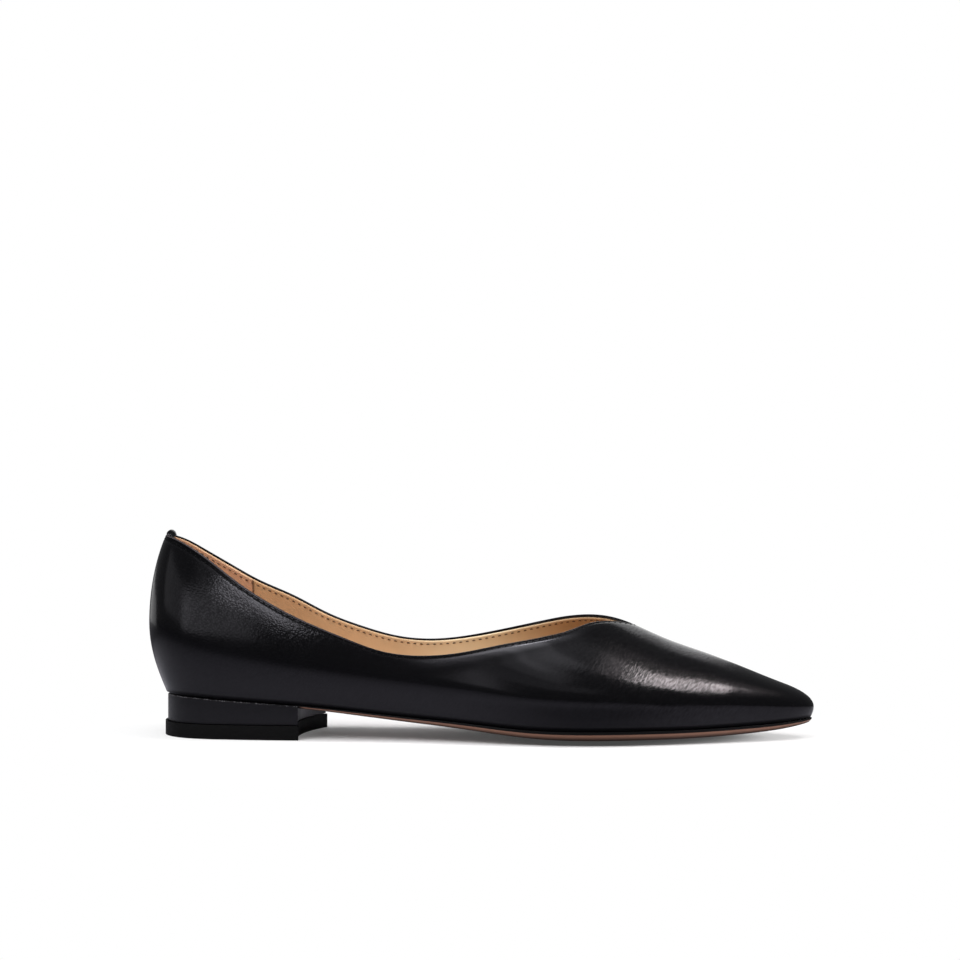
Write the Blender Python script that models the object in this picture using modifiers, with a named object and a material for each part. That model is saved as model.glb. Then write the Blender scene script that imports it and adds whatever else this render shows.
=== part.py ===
"""A right-foot ballet flat with a pointed toe, a V throat and a low block heel.

Sizes are in metres. The toe points along +X, the inner side of the foot lies on +Y,
and the shoe stands on Z = 0.
"""
from collections import namedtuple

import bmesh
import bpy
import numpy as np

LATERAL = -1
MEDIAL = 1

# Driving sizes of the shoe
LENGTH = 0.2665
BALL_WIDTH = 0.080
INSTEP_HEIGHT = 0.0447
HEEL_HEIGHT = 0.0172
BACK_HEIGHT = 0.0803
WALL = 0.0018
SOLE_THICKNESS = 0.0032
GAP = 0.0003
WELD = 1e-6

# The throat: its point on the ridge, how far its edges spread for each step back,
# the roundness of its point, and where its edges run into the collar
THROAT_AT = 0.731 * LENGTH
THROAT_SPREAD = {LATERAL: 0.78, MEDIAL: 0.52}
THROAT_ROUNDING = 0.0032
THROAT_BLEND_FROM = 0.620 * LENGTH
THROAT_BLEND_TO = 0.680 * LENGTH

# The lasting margin under the upper
MARGIN_WIDTH = 0.006
MARGIN_MOST = 0.45

# The insole
INSOLE_THICKNESS = 0.0020
INSOLE_INSET = 0.0034

# The edge of the outsole: proud of the upper ahead of the breast, tucked in at the heel seat
SOLE_PROUD = 0.0004
SOLE_TUCK = 0.0010
RIM_SHARE = 0.36
BEVEL_INSET = 0.0010
TUCK_FROM = 0.0610
TUCK_TO = 0.0690

# The heel
BREAST_AT = 0.0662
BREAST_SLANT = 0.0019
BREAST_HOLLOW = 0.0042
BREAST_BLEND_FROM = 0.0380
BLOCK_INSET = 0.0006
TOP_LIFT_THICKNESS = 0.0056
TOP_LIFT_PROUD = 0.0004

# The tab over the back of the collar
TAB_HALF_WIDTH = 0.0045
TAB_THICKNESS = 0.0014
TAB_HEIGHT = 0.0017
TAB_INSIDE = 0.0080

# Shape of the wall between the feather line and its widest line
LOWER_FOOT = (0.45, 0.27)
LOWER_SHOULDER = 0.60

# One row for each section, from the back of the heel to the tip of the toe.
# along, crest: places of its feather point and of its top, as shares of LENGTH
# lateral, medial: feather points from the centre line, as shares of BALL_WIDTH
# seat, arch, crown: height of the feather line, extra height of it on the medial side
#   and sag of the bottom between the two, as shares of HEEL_HEIGHT
# swell, swell_up: how far the wall swells out, share of BALL_WIDTH, and how high, share of INSTEP_HEIGHT
# side_pull, crest_pull: fullness of the wall over the swell, at the side and at the crest
# sole: thickness of the outsole, as a share of SOLE_THICKNESS
Section = namedtuple(
    "Section",
    "along crest lateral medial seat arch crown swell swell_up side_pull crest_pull sole",
)
SECTIONS = [
    Section(0.0264, 0.094, 0.000, 0.000, 1.000, 0.00, 0.04, 0.087, 0.620, 0.55, 0.55, 0.28),
    Section(0.0385, 0.099, 0.150, 0.150, 0.997, 0.00, 0.05, 0.086, 0.600, 0.47, 0.52, 0.28),
    Section(0.0680, 0.116, 0.250, 0.250, 0.980, 0.00, 0.07, 0.082, 0.540, 0.34, 0.44, 0.28),
    Section(0.1360, 0.146, 0.306, 0.304, 0.915, 0.00, 0.09, 0.072, 0.440, 0.34, 0.44, 0.28),
    Section(0.2490, 0.249, 0.316, 0.286, 0.800, 0.05, 0.09, 0.058, 0.350, 0.38, 0.47, 0.34),
    Section(0.3770, 0.377, 0.320, 0.262, 0.610, 0.13, 0.08, 0.046, 0.310, 0.36, 0.46, 0.54),
    Section(0.4900, 0.490, 0.372, 0.312, 0.470, 0.10, 0.10, 0.044, 0.290, 0.33, 0.42, 0.76),
    Section(0.5850, 0.585, 0.446, 0.402, 0.362, 0.03, 0.15, 0.043, 0.275, 0.30, 0.40, 0.94),
    Section(0.6640, 0.664, 0.463, 0.450, 0.343, 0.00, 0.17, 0.042, 0.265, 0.30, 0.38, 1.00),
    Section(0.7400, 0.740, 0.422, 0.446, 0.348, 0.00, 0.16, 0.040, 0.245, 0.32, 0.40, 1.00),
    Section(0.8150, 0.815, 0.335, 0.377, 0.352, 0.00, 0.13, 0.036, 0.215, 0.36, 0.43, 0.97),
    Section(0.8830, 0.878, 0.238, 0.288, 0.380, 0.00, 0.09, 0.030, 0.180, 0.42, 0.47, 0.92),
    Section(0.9380, 0.922, 0.147, 0.208, 0.415, 0.00, 0.05, 0.023, 0.145, 0.47, 0.50, 0.80),
    Section(0.9770, 0.944, 0.063, 0.131, 0.455, 0.00, 0.02, 0.017, 0.110, 0.46, 0.50, 0.58),
    Section(0.9950, 0.950, -0.035, 0.035, 0.480, 0.00, 0.00, 0.015, 0.090, 0.44, 0.49, 0.46),
]

# The ridge over the top of the foot: place, share of LENGTH; height, share of INSTEP_HEIGHT;
# and how far it lies to the medial side, share of BALL_WIDTH
Ridge = namedtuple("Ridge", "along height shift")
RIDGE = [
    Ridge(0.080, 2.17, 0.000),
    Ridge(0.160, 2.13, 0.000),
    Ridge(0.280, 1.86, 0.000),
    Ridge(0.420, 1.52, 0.010),
    Ridge(0.540, 1.330, 0.030),
    Ridge(0.628, 1.200, 0.034),
    Ridge(0.690, 1.098, 0.028),
    Ridge(0.731, 1.000, 0.022),
    Ridge(0.786, 0.857, 0.024),
    Ridge(0.838, 0.749, 0.027),
    Ridge(0.891, 0.629, 0.030),
    Ridge(0.925, 0.548, 0.033),
    Ridge(0.952, 0.486, 0.035),
]

# Height of the collar, as shares of BACK_HEIGHT, behind the throat
Collar = namedtuple("Collar", "along lateral medial")
COLLAR = [
    Collar(0.026, 1.000, 1.000),
    Collar(0.045, 0.985, 0.970),
    Collar(0.070, 0.950, 0.918),
    Collar(0.108, 0.875, 0.838),
    Collar(0.147, 0.783, 0.762),
    Collar(0.203, 0.668, 0.680),
    Collar(0.257, 0.579, 0.590),
    Collar(0.310, 0.507, 0.525),
    Collar(0.363, 0.445, 0.477),
    Collar(0.427, 0.422, 0.461),
    Collar(0.488, 0.442, 0.485),
    Collar(0.540, 0.477, 0.520),
    Collar(0.593, 0.509, 0.560),
    Collar(0.646, 0.545, 0.595),
    Collar(0.700, 0.585, 0.610),
]

# How finely the solids are cut
OPEN_STATIONS = 36
CROWDING = 0.6
TOE_STATIONS = 19
LOWER_ROWS = 4
UPPER_ROWS = 9
SOLE_STATIONS = 40
HEEL_STATIONS = 15
ACROSS = 8
TAB_ACROSS = 6
TAB_ROWS = 3
TAB_TURN = 6
SAMPLES = 400

# Colour, roughness and metallic of each piece
Finish = namedtuple("Finish", "colour roughness metallic")
FINISHES = {
    "upper": Finish((0.012, 0.012, 0.014), 0.38, 0.0),
    "insole": Finish((0.50, 0.29, 0.17), 0.60, 0.0),
    "outsole": Finish((0.26, 0.12, 0.06), 0.55, 0.0),
    "heel_block": Finish((0.012, 0.012, 0.014), 0.40, 0.0),
    "top_lift": Finish((0.015, 0.015, 0.015), 0.65, 0.0),
    "back_tab": Finish((0.012, 0.012, 0.014), 0.38, 0.0),
}


def spline(knots, values, closed=False):
    """A smooth cubic curve through values at knots; a closed one joins its end to its start."""
    knots = np.asarray(knots, float)
    values = np.asarray(values, float)
    step = np.diff(knots)
    slope = np.diff(values) / step
    count = len(step) if closed else len(knots)
    matrix = np.eye(count)
    target = np.zeros(count)
    for i in range(count):
        if not closed and i in (0, count - 1):
            continue
        before = step[i - 1]
        after = step[i]
        matrix[i, i] = 2.0 * (before + after)
        matrix[i, i - 1] += before
        matrix[i, (i + 1) % count] += after
        target[i] = 6.0 * (slope[i] - slope[i - 1])
    bend = np.linalg.solve(matrix, target)
    if closed:
        bend = np.append(bend, bend[0])

    def at(place):
        place = np.clip(np.asarray(place, float), knots[0], knots[-1])
        i = np.clip(np.searchsorted(knots, place, side="right") - 1, 0, len(step) - 1)
        h = step[i]
        to = (knots[i + 1] - place) / h
        past = 1.0 - to
        curve = (to ** 3 - to) * bend[i] + (past ** 3 - past) * bend[i + 1]
        return to * values[i] + past * values[i + 1] + curve * h * h / 6.0

    return at


def ease(value, start, end):
    share = np.clip((value - start) / (end - start), 0.0, 1.0)
    return share * share * (3.0 - 2.0 * share)


def loop_of(lateral, medial):
    """Values in order round the shoe: lateral side to the toe, medial side back to the heel."""
    return np.concatenate([lateral, medial[-2::-1]])


def column(name, scale):
    return np.array([getattr(row, name) for row in SECTIONS]) * scale


PLACE = column("along", LENGTH)
MEAN_WIDTH = (column("lateral", BALL_WIDTH) + column("medial", BALL_WIDTH)) / 2.0
CHORDS = np.hypot(np.diff(PLACE), np.diff(MEAN_WIDTH))
KNOTS = np.concatenate([[0.0], np.cumsum(CHORDS)])
HALF = KNOTS[-1]
LOOP_KNOTS = np.concatenate([KNOTS, 2.0 * HALF - KNOTS[-2::-1]])


def loop_spline(lateral, medial=None):
    medial = lateral if medial is None else medial
    return spline(LOOP_KNOTS, loop_of(lateral, medial), closed=True)


SEAT = column("seat", HEEL_HEIGHT)
feather_x = loop_spline(PLACE)
feather_y = loop_spline(-column("lateral", BALL_WIDTH), column("medial", BALL_WIDTH))
feather_z = loop_spline(SEAT, SEAT + column("arch", HEEL_HEIGHT))
crest_x = loop_spline(column("crest", LENGTH))
crown = loop_spline(column("crown", HEEL_HEIGHT))
swell_out = loop_spline(column("swell", BALL_WIDTH))
swell_up = loop_spline(column("swell_up", INSTEP_HEIGHT))
side_pull = loop_spline(column("side_pull", 1.0))
crest_pull = loop_spline(column("crest_pull", 1.0))
sole_thickness = loop_spline(column("sole", SOLE_THICKNESS))

RIDGE_AT = [row.along * LENGTH for row in RIDGE]
ridge_z = spline(RIDGE_AT, [row.height * INSTEP_HEIGHT for row in RIDGE])
ridge_y = spline(RIDGE_AT, [row.shift * BALL_WIDTH for row in RIDGE])

COLLAR_AT = [row.along * LENGTH for row in COLLAR]
collar_z = {
    LATERAL: spline(COLLAR_AT, [row.lateral * BACK_HEIGHT for row in COLLAR]),
    MEDIAL: spline(COLLAR_AT, [row.medial * BACK_HEIGHT for row in COLLAR]),
}


def round_shoe(share, side):
    """Place on the loop of a share of the way from the heel to the toe on one side."""
    share = np.asarray(share, float)
    return share * HALF if side == LATERAL else 2.0 * HALF - share * HALF


def bezier(points, share):
    """Points of a cubic curve for each row of four control points, at shares along it."""
    share = share[..., None]
    left = 1.0 - share
    a, b, c, d = (point[:, None, :] for point in points)
    return left ** 3 * a + 3 * left ** 2 * share * b + 3 * left * share ** 2 * c + share ** 3 * d


def section_controls(share, side):
    """Control points of the lower and the upper curve of the sections at shares along one side."""
    place = round_shoe(share, side)
    foot = np.stack([feather_x(place), feather_y(place), feather_z(place)], axis=-1)
    top_x = crest_x(place)
    top = np.stack([top_x, ridge_y(top_x), ridge_z(top_x)], axis=-1)
    plan = (foot - top) * (1.0, 1.0, 0.0)
    reach = np.linalg.norm(plan, axis=1)[:, None]
    out = plan / reach
    up = np.array([0.0, 0.0, 1.0])
    spread = swell_out(place)[:, None]
    rise = swell_up(place)[:, None]
    widest = foot + out * spread + up * rise
    lower = (
        foot,
        foot + out * spread * LOWER_FOOT[0] + up * rise * LOWER_FOOT[1],
        foot + out * spread + up * rise * LOWER_SHOULDER,
        widest,
    )
    climb = (top[:, 2] - widest[:, 2])[:, None]
    step = LENGTH / SAMPLES
    ridge_slope = (ridge_z(top_x + step) - ridge_z(top_x - step)) / (2.0 * step)
    fall = (ridge_slope * np.clip(out[:, 0], 0.0, 1.0))[:, None]
    run = (reach + spread) * crest_pull(place)[:, None]
    upper = (
        widest,
        widest + up * climb * side_pull(place)[:, None],
        top + out * run + up * run * fall,
        top,
    )
    return lower, upper, out, reach


def collar_share(share, side):
    """How far up its upper curve each section is covered, 1 where the vamp closes over the ridge."""
    _, upper, _, _ = section_controls(share, side)
    fine = np.linspace(0.0, 1.0, SAMPLES)
    curves = bezier(upper, np.broadcast_to(fine, (len(share), SAMPLES)))
    covered = np.ones(len(share))
    for i, curve in enumerate(curves):
        top = curve[-1]
        if top[0] >= THROAT_AT:
            continue
        by_height = np.interp(0.0, curve[:, 2] - collar_z[side](curve[:, 0]), fine)
        from_ridge = np.hypot(curve[:, 0] - top[0], curve[:, 1] - top[1])
        back = THROAT_AT - top[0]
        spread = THROAT_SPREAD[side] * np.sqrt(back * (back + 2.0 * THROAT_ROUNDING))
        by_throat = np.interp(-spread, -from_ridge, fine)
        blend = ease(top[0], THROAT_BLEND_FROM, THROAT_BLEND_TO)
        covered[i] = by_height + (by_throat - by_height) * blend
    return covered


def throat_share():
    """Share along the side of the section whose top is the point of the throat."""
    fine = np.linspace(0.0, 1.0, SAMPLES)
    return float(np.interp(THROAT_AT, crest_x(round_shoe(fine, LATERAL)), fine))


def seat_height(x, y):
    """Height of the bottom of the last over a point of the plan."""
    fine = np.linspace(0.0, 1.0, SAMPLES)
    lateral = round_shoe(fine, LATERAL)
    medial = round_shoe(fine, MEDIAL)
    places = feather_x(lateral)
    left = np.interp(x, places, feather_y(lateral))
    right = np.interp(x, places, feather_y(medial))
    width = np.maximum(right - left, GAP)
    across = np.clip((y - left) / width, 0.0, 1.0)
    low = np.interp(x, places, feather_z(lateral))
    high = np.interp(x, places, feather_z(medial))
    sag = np.interp(x, places, crown(lateral)) * (1.0 - (2.0 * across - 1.0) ** 2)
    return low + (high - low) * across - sag


def sole_depth(x):
    fine = np.linspace(0.0, 1.0, SAMPLES)
    lateral = round_shoe(fine, LATERAL)
    return np.interp(x, feather_x(lateral), sole_thickness(lateral))


def outline(share, side, outset):
    """The feather line in plan, moved outwards."""
    place = round_shoe(share, side)
    step = HALF / SAMPLES
    period = 2.0 * HALF
    ahead = (place + step) % period
    behind = (place - step) % period
    along = np.stack(
        [feather_x(ahead) - feather_x(behind), feather_y(ahead) - feather_y(behind)], axis=-1
    )
    along /= np.linalg.norm(along, axis=1)[:, None]
    outward = np.stack([along[:, 1], -along[:, 0]], axis=-1)
    return np.stack([feather_x(place), feather_y(place)], axis=-1) + outward * np.reshape(outset, (-1, 1))


def stations(count):
    """Shares of a run, closer together at its two ends."""
    even = np.linspace(0.0, 1.0, count + 1)
    return even - CROWDING * np.sin(2.0 * np.pi * even) / (2.0 * np.pi)


def link(name, mesh):
    """An object of its own material in the shoe's collection."""
    finish = FINISHES[name]
    material = bpy.data.materials.new(name)
    material.use_nodes = True
    shader = material.node_tree.nodes["Principled BSDF"]
    shader.inputs["Base Color"].default_value = (*finish.colour, 1.0)
    shader.inputs["Roughness"].default_value = finish.roughness
    shader.inputs["Metallic"].default_value = finish.metallic
    material.diffuse_color = (*finish.colour, 1.0)
    mesh.materials.append(material)
    piece = bpy.data.objects.new(name, mesh)
    COLLECTION.objects.link(piece)
    return piece


def loft(name, rings, closed_ring, start_cap=False, end_cap=False):
    """A mesh through rings of points, welded where they run together; a cap joins a ring's two halves."""
    mesh = bpy.data.meshes.new(name)
    build = bmesh.new()
    rows = [[build.verts.new(point) for point in ring] for ring in rings]
    count = len(rows[0])
    for near, far in zip(rows, rows[1:]):
        for i in range(count if closed_ring else count - 1):
            j = (i + 1) % count
            build.faces.new((near[i], near[j], far[j], far[i]))
    for i in range(count // 2 - 1):
        j = count - 1 - i
        if start_cap:
            build.faces.new((rows[0][j], rows[0][j - 1], rows[0][i + 1], rows[0][i]))
        if end_cap:
            build.faces.new((rows[-1][i], rows[-1][i + 1], rows[-1][j - 1], rows[-1][j]))
    bmesh.ops.remove_doubles(build, verts=build.verts, dist=WELD)
    bmesh.ops.dissolve_degenerate(build, edges=build.edges, dist=WELD)
    build.to_mesh(mesh)
    build.free()
    return mesh


def wall_rings(shares, side):
    """Points of the upper's outside, from the margin underneath up to the collar, a ring a section."""
    lower, upper, out, reach = section_controls(shares, side)
    foot = lower[0]
    margin = np.minimum(MARGIN_WIDTH, reach * MARGIN_MOST)
    turned = foot - out * margin
    turned[:, 2] = seat_height(turned[:, 0], turned[:, 1])
    low = np.broadcast_to(np.linspace(0.0, 1.0, LOWER_ROWS + 1), (len(shares), LOWER_ROWS + 1))
    cover = collar_share(shares, side)
    high = np.linspace(0.0, 1.0, UPPER_ROWS + 1)[None, 1:] * cover[:, None]
    return np.concatenate([turned[:, None, :], bezier(lower, low), bezier(upper, high)], axis=1)


def build_upper():
    throat = throat_share()
    behind = throat * stations(OPEN_STATIONS)
    ahead = np.linspace(throat, 1.0, TOE_STATIONS + 1)[1:]
    shares = np.concatenate([behind, ahead])
    lateral = wall_rings(shares, LATERAL)
    medial = wall_rings(shares, MEDIAL)
    rings = np.concatenate([lateral, medial[-2::-1]])[:, ::-1]
    piece = link("upper", loft("upper", rings, closed_ring=False))
    shell = piece.modifiers.new("wall", "SOLIDIFY")
    shell.thickness = WALL
    shell.offset = -1.0
    shell.use_even_offset = True
    return piece


def across_points(left, right, shares):
    return left[None, :] * (1.0 - shares[:, None]) + right[None, :] * shares[:, None]


def build_insole():
    shares = stations(SOLE_STATIONS)
    over = np.linspace(0.0, 1.0, ACROSS + 1)
    lateral = outline(shares, LATERAL, -INSOLE_INSET)
    medial = outline(shares, MEDIAL, -INSOLE_INSET)
    rings = []
    for left, right in zip(lateral, medial):
        plan = across_points(left, right, over)
        under = seat_height(plan[:, 0], plan[:, 1]) + WALL + GAP
        bottom = np.column_stack([plan, under])
        top = np.column_stack([plan, under + INSOLE_THICKNESS])
        rings.append(np.concatenate([bottom, top[::-1]]))
    return link("insole", loft("insole", rings, closed_ring=True))


def build_outsole():
    shares = stations(SOLE_STATIONS)
    over = np.linspace(0.0, 1.0, ACROSS + 1)
    place = feather_x(round_shoe(shares, LATERAL))
    outset = -SOLE_TUCK + (SOLE_PROUD + SOLE_TUCK) * ease(place, TUCK_FROM, TUCK_TO)
    lateral = outline(shares, LATERAL, outset)
    medial = outline(shares, MEDIAL, outset)
    inset_lateral = outline(shares, LATERAL, outset - BEVEL_INSET)
    inset_medial = outline(shares, MEDIAL, outset - BEVEL_INSET)
    rings = []
    for left, right, low_left, low_right in zip(lateral, medial, inset_lateral, inset_medial):
        plan = across_points(left, right, over)
        top = np.column_stack([plan, seat_height(plan[:, 0], plan[:, 1]) - GAP])
        rim = top[[0, -1]] - (0.0, 0.0, RIM_SHARE) * sole_depth(plan[[0, -1], 0])[:, None]
        low = across_points(low_left, low_right, over)
        depth = seat_height(low[:, 0], low[:, 1]) - GAP - sole_depth(low[:, 0])
        bottom = np.column_stack([low, np.maximum(depth, 0.0)])
        rings.append(np.concatenate([rim[:1], bottom, rim[1:], top[::-1]]))
    return link("outsole", loft("outsole", rings, closed_ring=True))


def heel_plan(outset, grow=0.0):
    """Rows of plan points over the heel, from its back to its hollow breast."""
    fine = np.linspace(0.0, 1.0, SAMPLES)
    last = float(np.interp(BREAST_AT, feather_x(round_shoe(fine, LATERAL)), fine))
    shares = np.linspace(0.0, last, HEEL_STATIONS + 1)
    lateral = outline(shares, LATERAL, outset)
    medial = outline(shares, MEDIAL, outset)
    over = np.linspace(0.0, 1.0, ACROSS + 1)
    from_middle = 2.0 * over - 1.0
    rows = []
    for left, right in zip(lateral, medial):
        plan = across_points(left, right, over)
        blend = ease(plan[:, 0], BREAST_BLEND_FROM, BREAST_AT)
        breast = BREAST_SLANT * from_middle - BREAST_HOLLOW * (1.0 - from_middle ** 2)
        plan[:, 0] += blend * (breast + grow)
        rows.append(plan)
    return rows


def build_heel_block():
    rings = []
    for plan in heel_plan(-BLOCK_INSET):
        roof = seat_height(plan[:, 0], plan[:, 1]) - sole_depth(plan[:, 0]) - 2.0 * GAP
        top = np.column_stack([plan, roof])
        bottom = np.column_stack([plan, np.full(len(plan), TOP_LIFT_THICKNESS + GAP)])
        rings.append(np.concatenate([bottom, top[::-1]]))
    return link("heel_block", loft("heel_block", rings, closed_ring=True, end_cap=True))


def build_top_lift():
    rings = []
    for plan in heel_plan(TOP_LIFT_PROUD, TOP_LIFT_PROUD):
        bottom = np.column_stack([plan, np.zeros(len(plan))])
        top = np.column_stack([plan, np.full(len(plan), TOP_LIFT_THICKNESS)])
        rings.append(np.concatenate([bottom, top[::-1]]))
    return link("top_lift", loft("top_lift", rings, closed_ring=True, end_cap=True))


def tab_line(curve, collar):
    """The two faces of the tab in one section, from the outer edge of the collar over and down inside."""
    steps = np.linalg.norm(np.diff(curve, axis=0), axis=1)
    length = np.concatenate([[0.0], np.cumsum(steps)])
    end = np.interp(collar, np.linspace(0.0, 1.0, len(curve)), length)
    flat = (curve[0] - curve[-1]) * (1.0, 1.0, 0.0)
    flat /= np.linalg.norm(flat)

    def on_wall(down):
        return np.array([np.interp(end - down, length, curve[:, axis]) for axis in range(3)])

    def directions(down):
        rise = on_wall(down) - on_wall(down + GAP)
        rise /= np.linalg.norm(rise)
        side = flat - rise * np.dot(flat, rise)
        return side / np.linalg.norm(side), rise

    side, rise = directions(0.0)
    edge = on_wall(0.0) + rise * GAP
    half = (WALL + GAP + TAB_THICKNESS) / 2.0
    near, far = [], []
    for turn in np.linspace(0.0, np.pi, TAB_TURN + 1):
        inwards = (1.0 - np.cos(turn)) / 2.0
        near.append(edge - side * inwards * (WALL + GAP))
        far.append(edge - side * inwards * 2.0 * half + rise * np.sin(turn) * TAB_HEIGHT)
    for down in np.linspace(0.0, TAB_INSIDE, TAB_ROWS + 1)[1:]:
        side, _ = directions(down)
        near.append(on_wall(down) - side * (WALL + GAP))
        far.append(on_wall(down) - side * (WALL + GAP + TAB_THICKNESS))
    return np.array(near), np.array(far)


def build_back_tab():
    fine = np.linspace(0.0, 1.0, SAMPLES)
    half_share = TAB_HALF_WIDTH / HALF
    rings = []
    for offset in np.linspace(-half_share, half_share, TAB_ACROSS + 1):
        side = LATERAL if offset <= 0.0 else MEDIAL
        share = np.array([abs(offset)])
        _, upper, _, _ = section_controls(share, side)
        curve = bezier(upper, fine[None, :])[0]
        near, far = tab_line(curve, collar_share(share, side)[0])
        rings.append(np.concatenate([far, near[::-1]]))
    return link("back_tab", loft("back_tab", rings, closed_ring=True, start_cap=True, end_cap=True))


def centre_on_floor(pieces):
    """Puts the middle of the shoe's length and width over the origin."""
    bpy.context.view_layer.update()
    graph = bpy.context.evaluated_depsgraph_get()
    points = []
    for piece in pieces:
        mesh = piece.evaluated_get(graph).to_mesh()
        points.extend(tuple(vertex.co) for vertex in mesh.vertices)
    points = np.array(points)
    middle = (points.min(axis=0) + points.max(axis=0)) / 2.0
    for piece in pieces:
        for vertex in piece.data.vertices:
            vertex.co.x -= middle[0]
            vertex.co.y -= middle[1]


for item in list(bpy.data.objects):
    bpy.data.objects.remove(item, do_unlink=True)
COLLECTION = bpy.data.collections.new("ballet_flat")
bpy.context.scene.collection.children.link(COLLECTION)

centre_on_floor([
    build_upper(),
    build_insole(),
    build_outsole(),
    build_heel_block(),
    build_top_lift(),
    build_back_tab(),
])
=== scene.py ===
"""The looks of a right-foot ballet flat: black leather upper, tan lining, leather sole, covered heel.

Sizes are in metres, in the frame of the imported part: the toe points along +X, the inner side
of the foot lies on +Y, and the shoe stands on Z = 0. The last's own tables start at the back
of the shoe, and ORIGIN moves their points into the frame.
"""
import math
from collections import namedtuple

import bmesh
import bpy
import numpy as np
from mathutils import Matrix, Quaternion, Vector
from mathutils.kdtree import KDTree


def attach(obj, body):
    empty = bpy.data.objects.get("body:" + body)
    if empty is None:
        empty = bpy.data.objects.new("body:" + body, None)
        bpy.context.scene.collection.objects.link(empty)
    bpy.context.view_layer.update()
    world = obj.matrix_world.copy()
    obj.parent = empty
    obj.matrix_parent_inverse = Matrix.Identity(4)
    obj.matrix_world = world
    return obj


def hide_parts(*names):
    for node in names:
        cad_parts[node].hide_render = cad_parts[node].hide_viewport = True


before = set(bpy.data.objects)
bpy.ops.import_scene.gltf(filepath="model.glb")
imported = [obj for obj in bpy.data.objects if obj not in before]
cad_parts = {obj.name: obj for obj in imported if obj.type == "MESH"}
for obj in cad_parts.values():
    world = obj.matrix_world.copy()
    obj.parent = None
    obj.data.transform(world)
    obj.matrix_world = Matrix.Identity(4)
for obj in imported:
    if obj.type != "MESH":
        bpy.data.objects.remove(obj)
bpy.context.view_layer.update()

LATERAL = -1
MEDIAL = 1
SIDES = (LATERAL, MEDIAL)
UP = np.array([0.0, 0.0, 1.0])
MM = 0.001

# Driving sizes of the last, the same as those of the solids
LENGTH = 0.2665
BALL_WIDTH = 0.080
INSTEP_HEIGHT = 0.0447
HEEL_HEIGHT = 0.0172
BACK_HEIGHT = 0.0803
WALL = 0.0018
SOLE_THICKNESS = 0.0032
GAP = 0.0003
ORIGIN = np.array([0.13323, -0.00038, 0.0])

# The throat
THROAT_AT = 0.731 * LENGTH
THROAT_SPREAD = {LATERAL: 0.78, MEDIAL: 0.52}
THROAT_ROUNDING = 0.0032
THROAT_BLEND_FROM = 0.620 * LENGTH
THROAT_BLEND_TO = 0.680 * LENGTH

# The lasting margin, the insole and the edge of the outsole
MARGIN_WIDTH = 0.006
MARGIN_MOST = 0.45
INSOLE_THICKNESS = 0.0020
SOLE_PROUD = 0.0004
SOLE_TUCK = 0.0010
RIM_SHARE = 0.36
BEVEL_INSET = 0.0010
TUCK_FROM = 0.0610
TUCK_TO = 0.0690

# Rows down the sole's rim and its bevel, as shares of each; how dark painted shade makes the bevel's
# rows and the bottom; and how far behind the breast the black of the seat fades out
RIM_ROWS = (0.33, 0.66, 0.92)
BEVEL_ROWS = (0.10, 0.35, 0.65, 0.9)
BEVEL_SHADE = (0.05, 0.25, 0.70, 0.95)
BOTTOM_SHADE = 0.3
SEAT_DYE_FROM = 0.0012
SEAT_DYE_TO = 0.0002

# The heel
BREAST_AT = 0.0662
BREAST_SLANT = 0.0019
BREAST_HOLLOW = 0.0042
BREAST_BLEND_FROM = 0.0380
BLOCK_INSET = 0.0006
TOP_LIFT_THICKNESS = 0.0056
TOP_LIFT_PROUD = 0.0004

# The leather of the heel's cover stands up round the seat of the sole, with light specks coloured along its
# top edge
COVER_LIP = 0.00030
COVER_SLIT = 0.00065
COVER_SPECKS = (0.00045, 0.00090)
COVER_SOFTNESS = 0.5 * COVER_LIP

# Rounding of the edges of the top lift and the tab
EDGE_SOFTNESS = 0.0003

# The tab over the back of the collar
TAB_HALF_WIDTH = 0.0045
TAB_THICKNESS = 0.0014
TAB_HEIGHT = 0.0023
TAB_INSIDE = 0.0080
TAB_LIFT = 0.00006
TAB_OVERHANG = 0.0005
TAB_END_FALL = 0.80

# Shape of the wall between the feather line and its widest line
LOWER_FOOT = (0.45, 0.27)
LOWER_SHOULDER = 0.60

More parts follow.
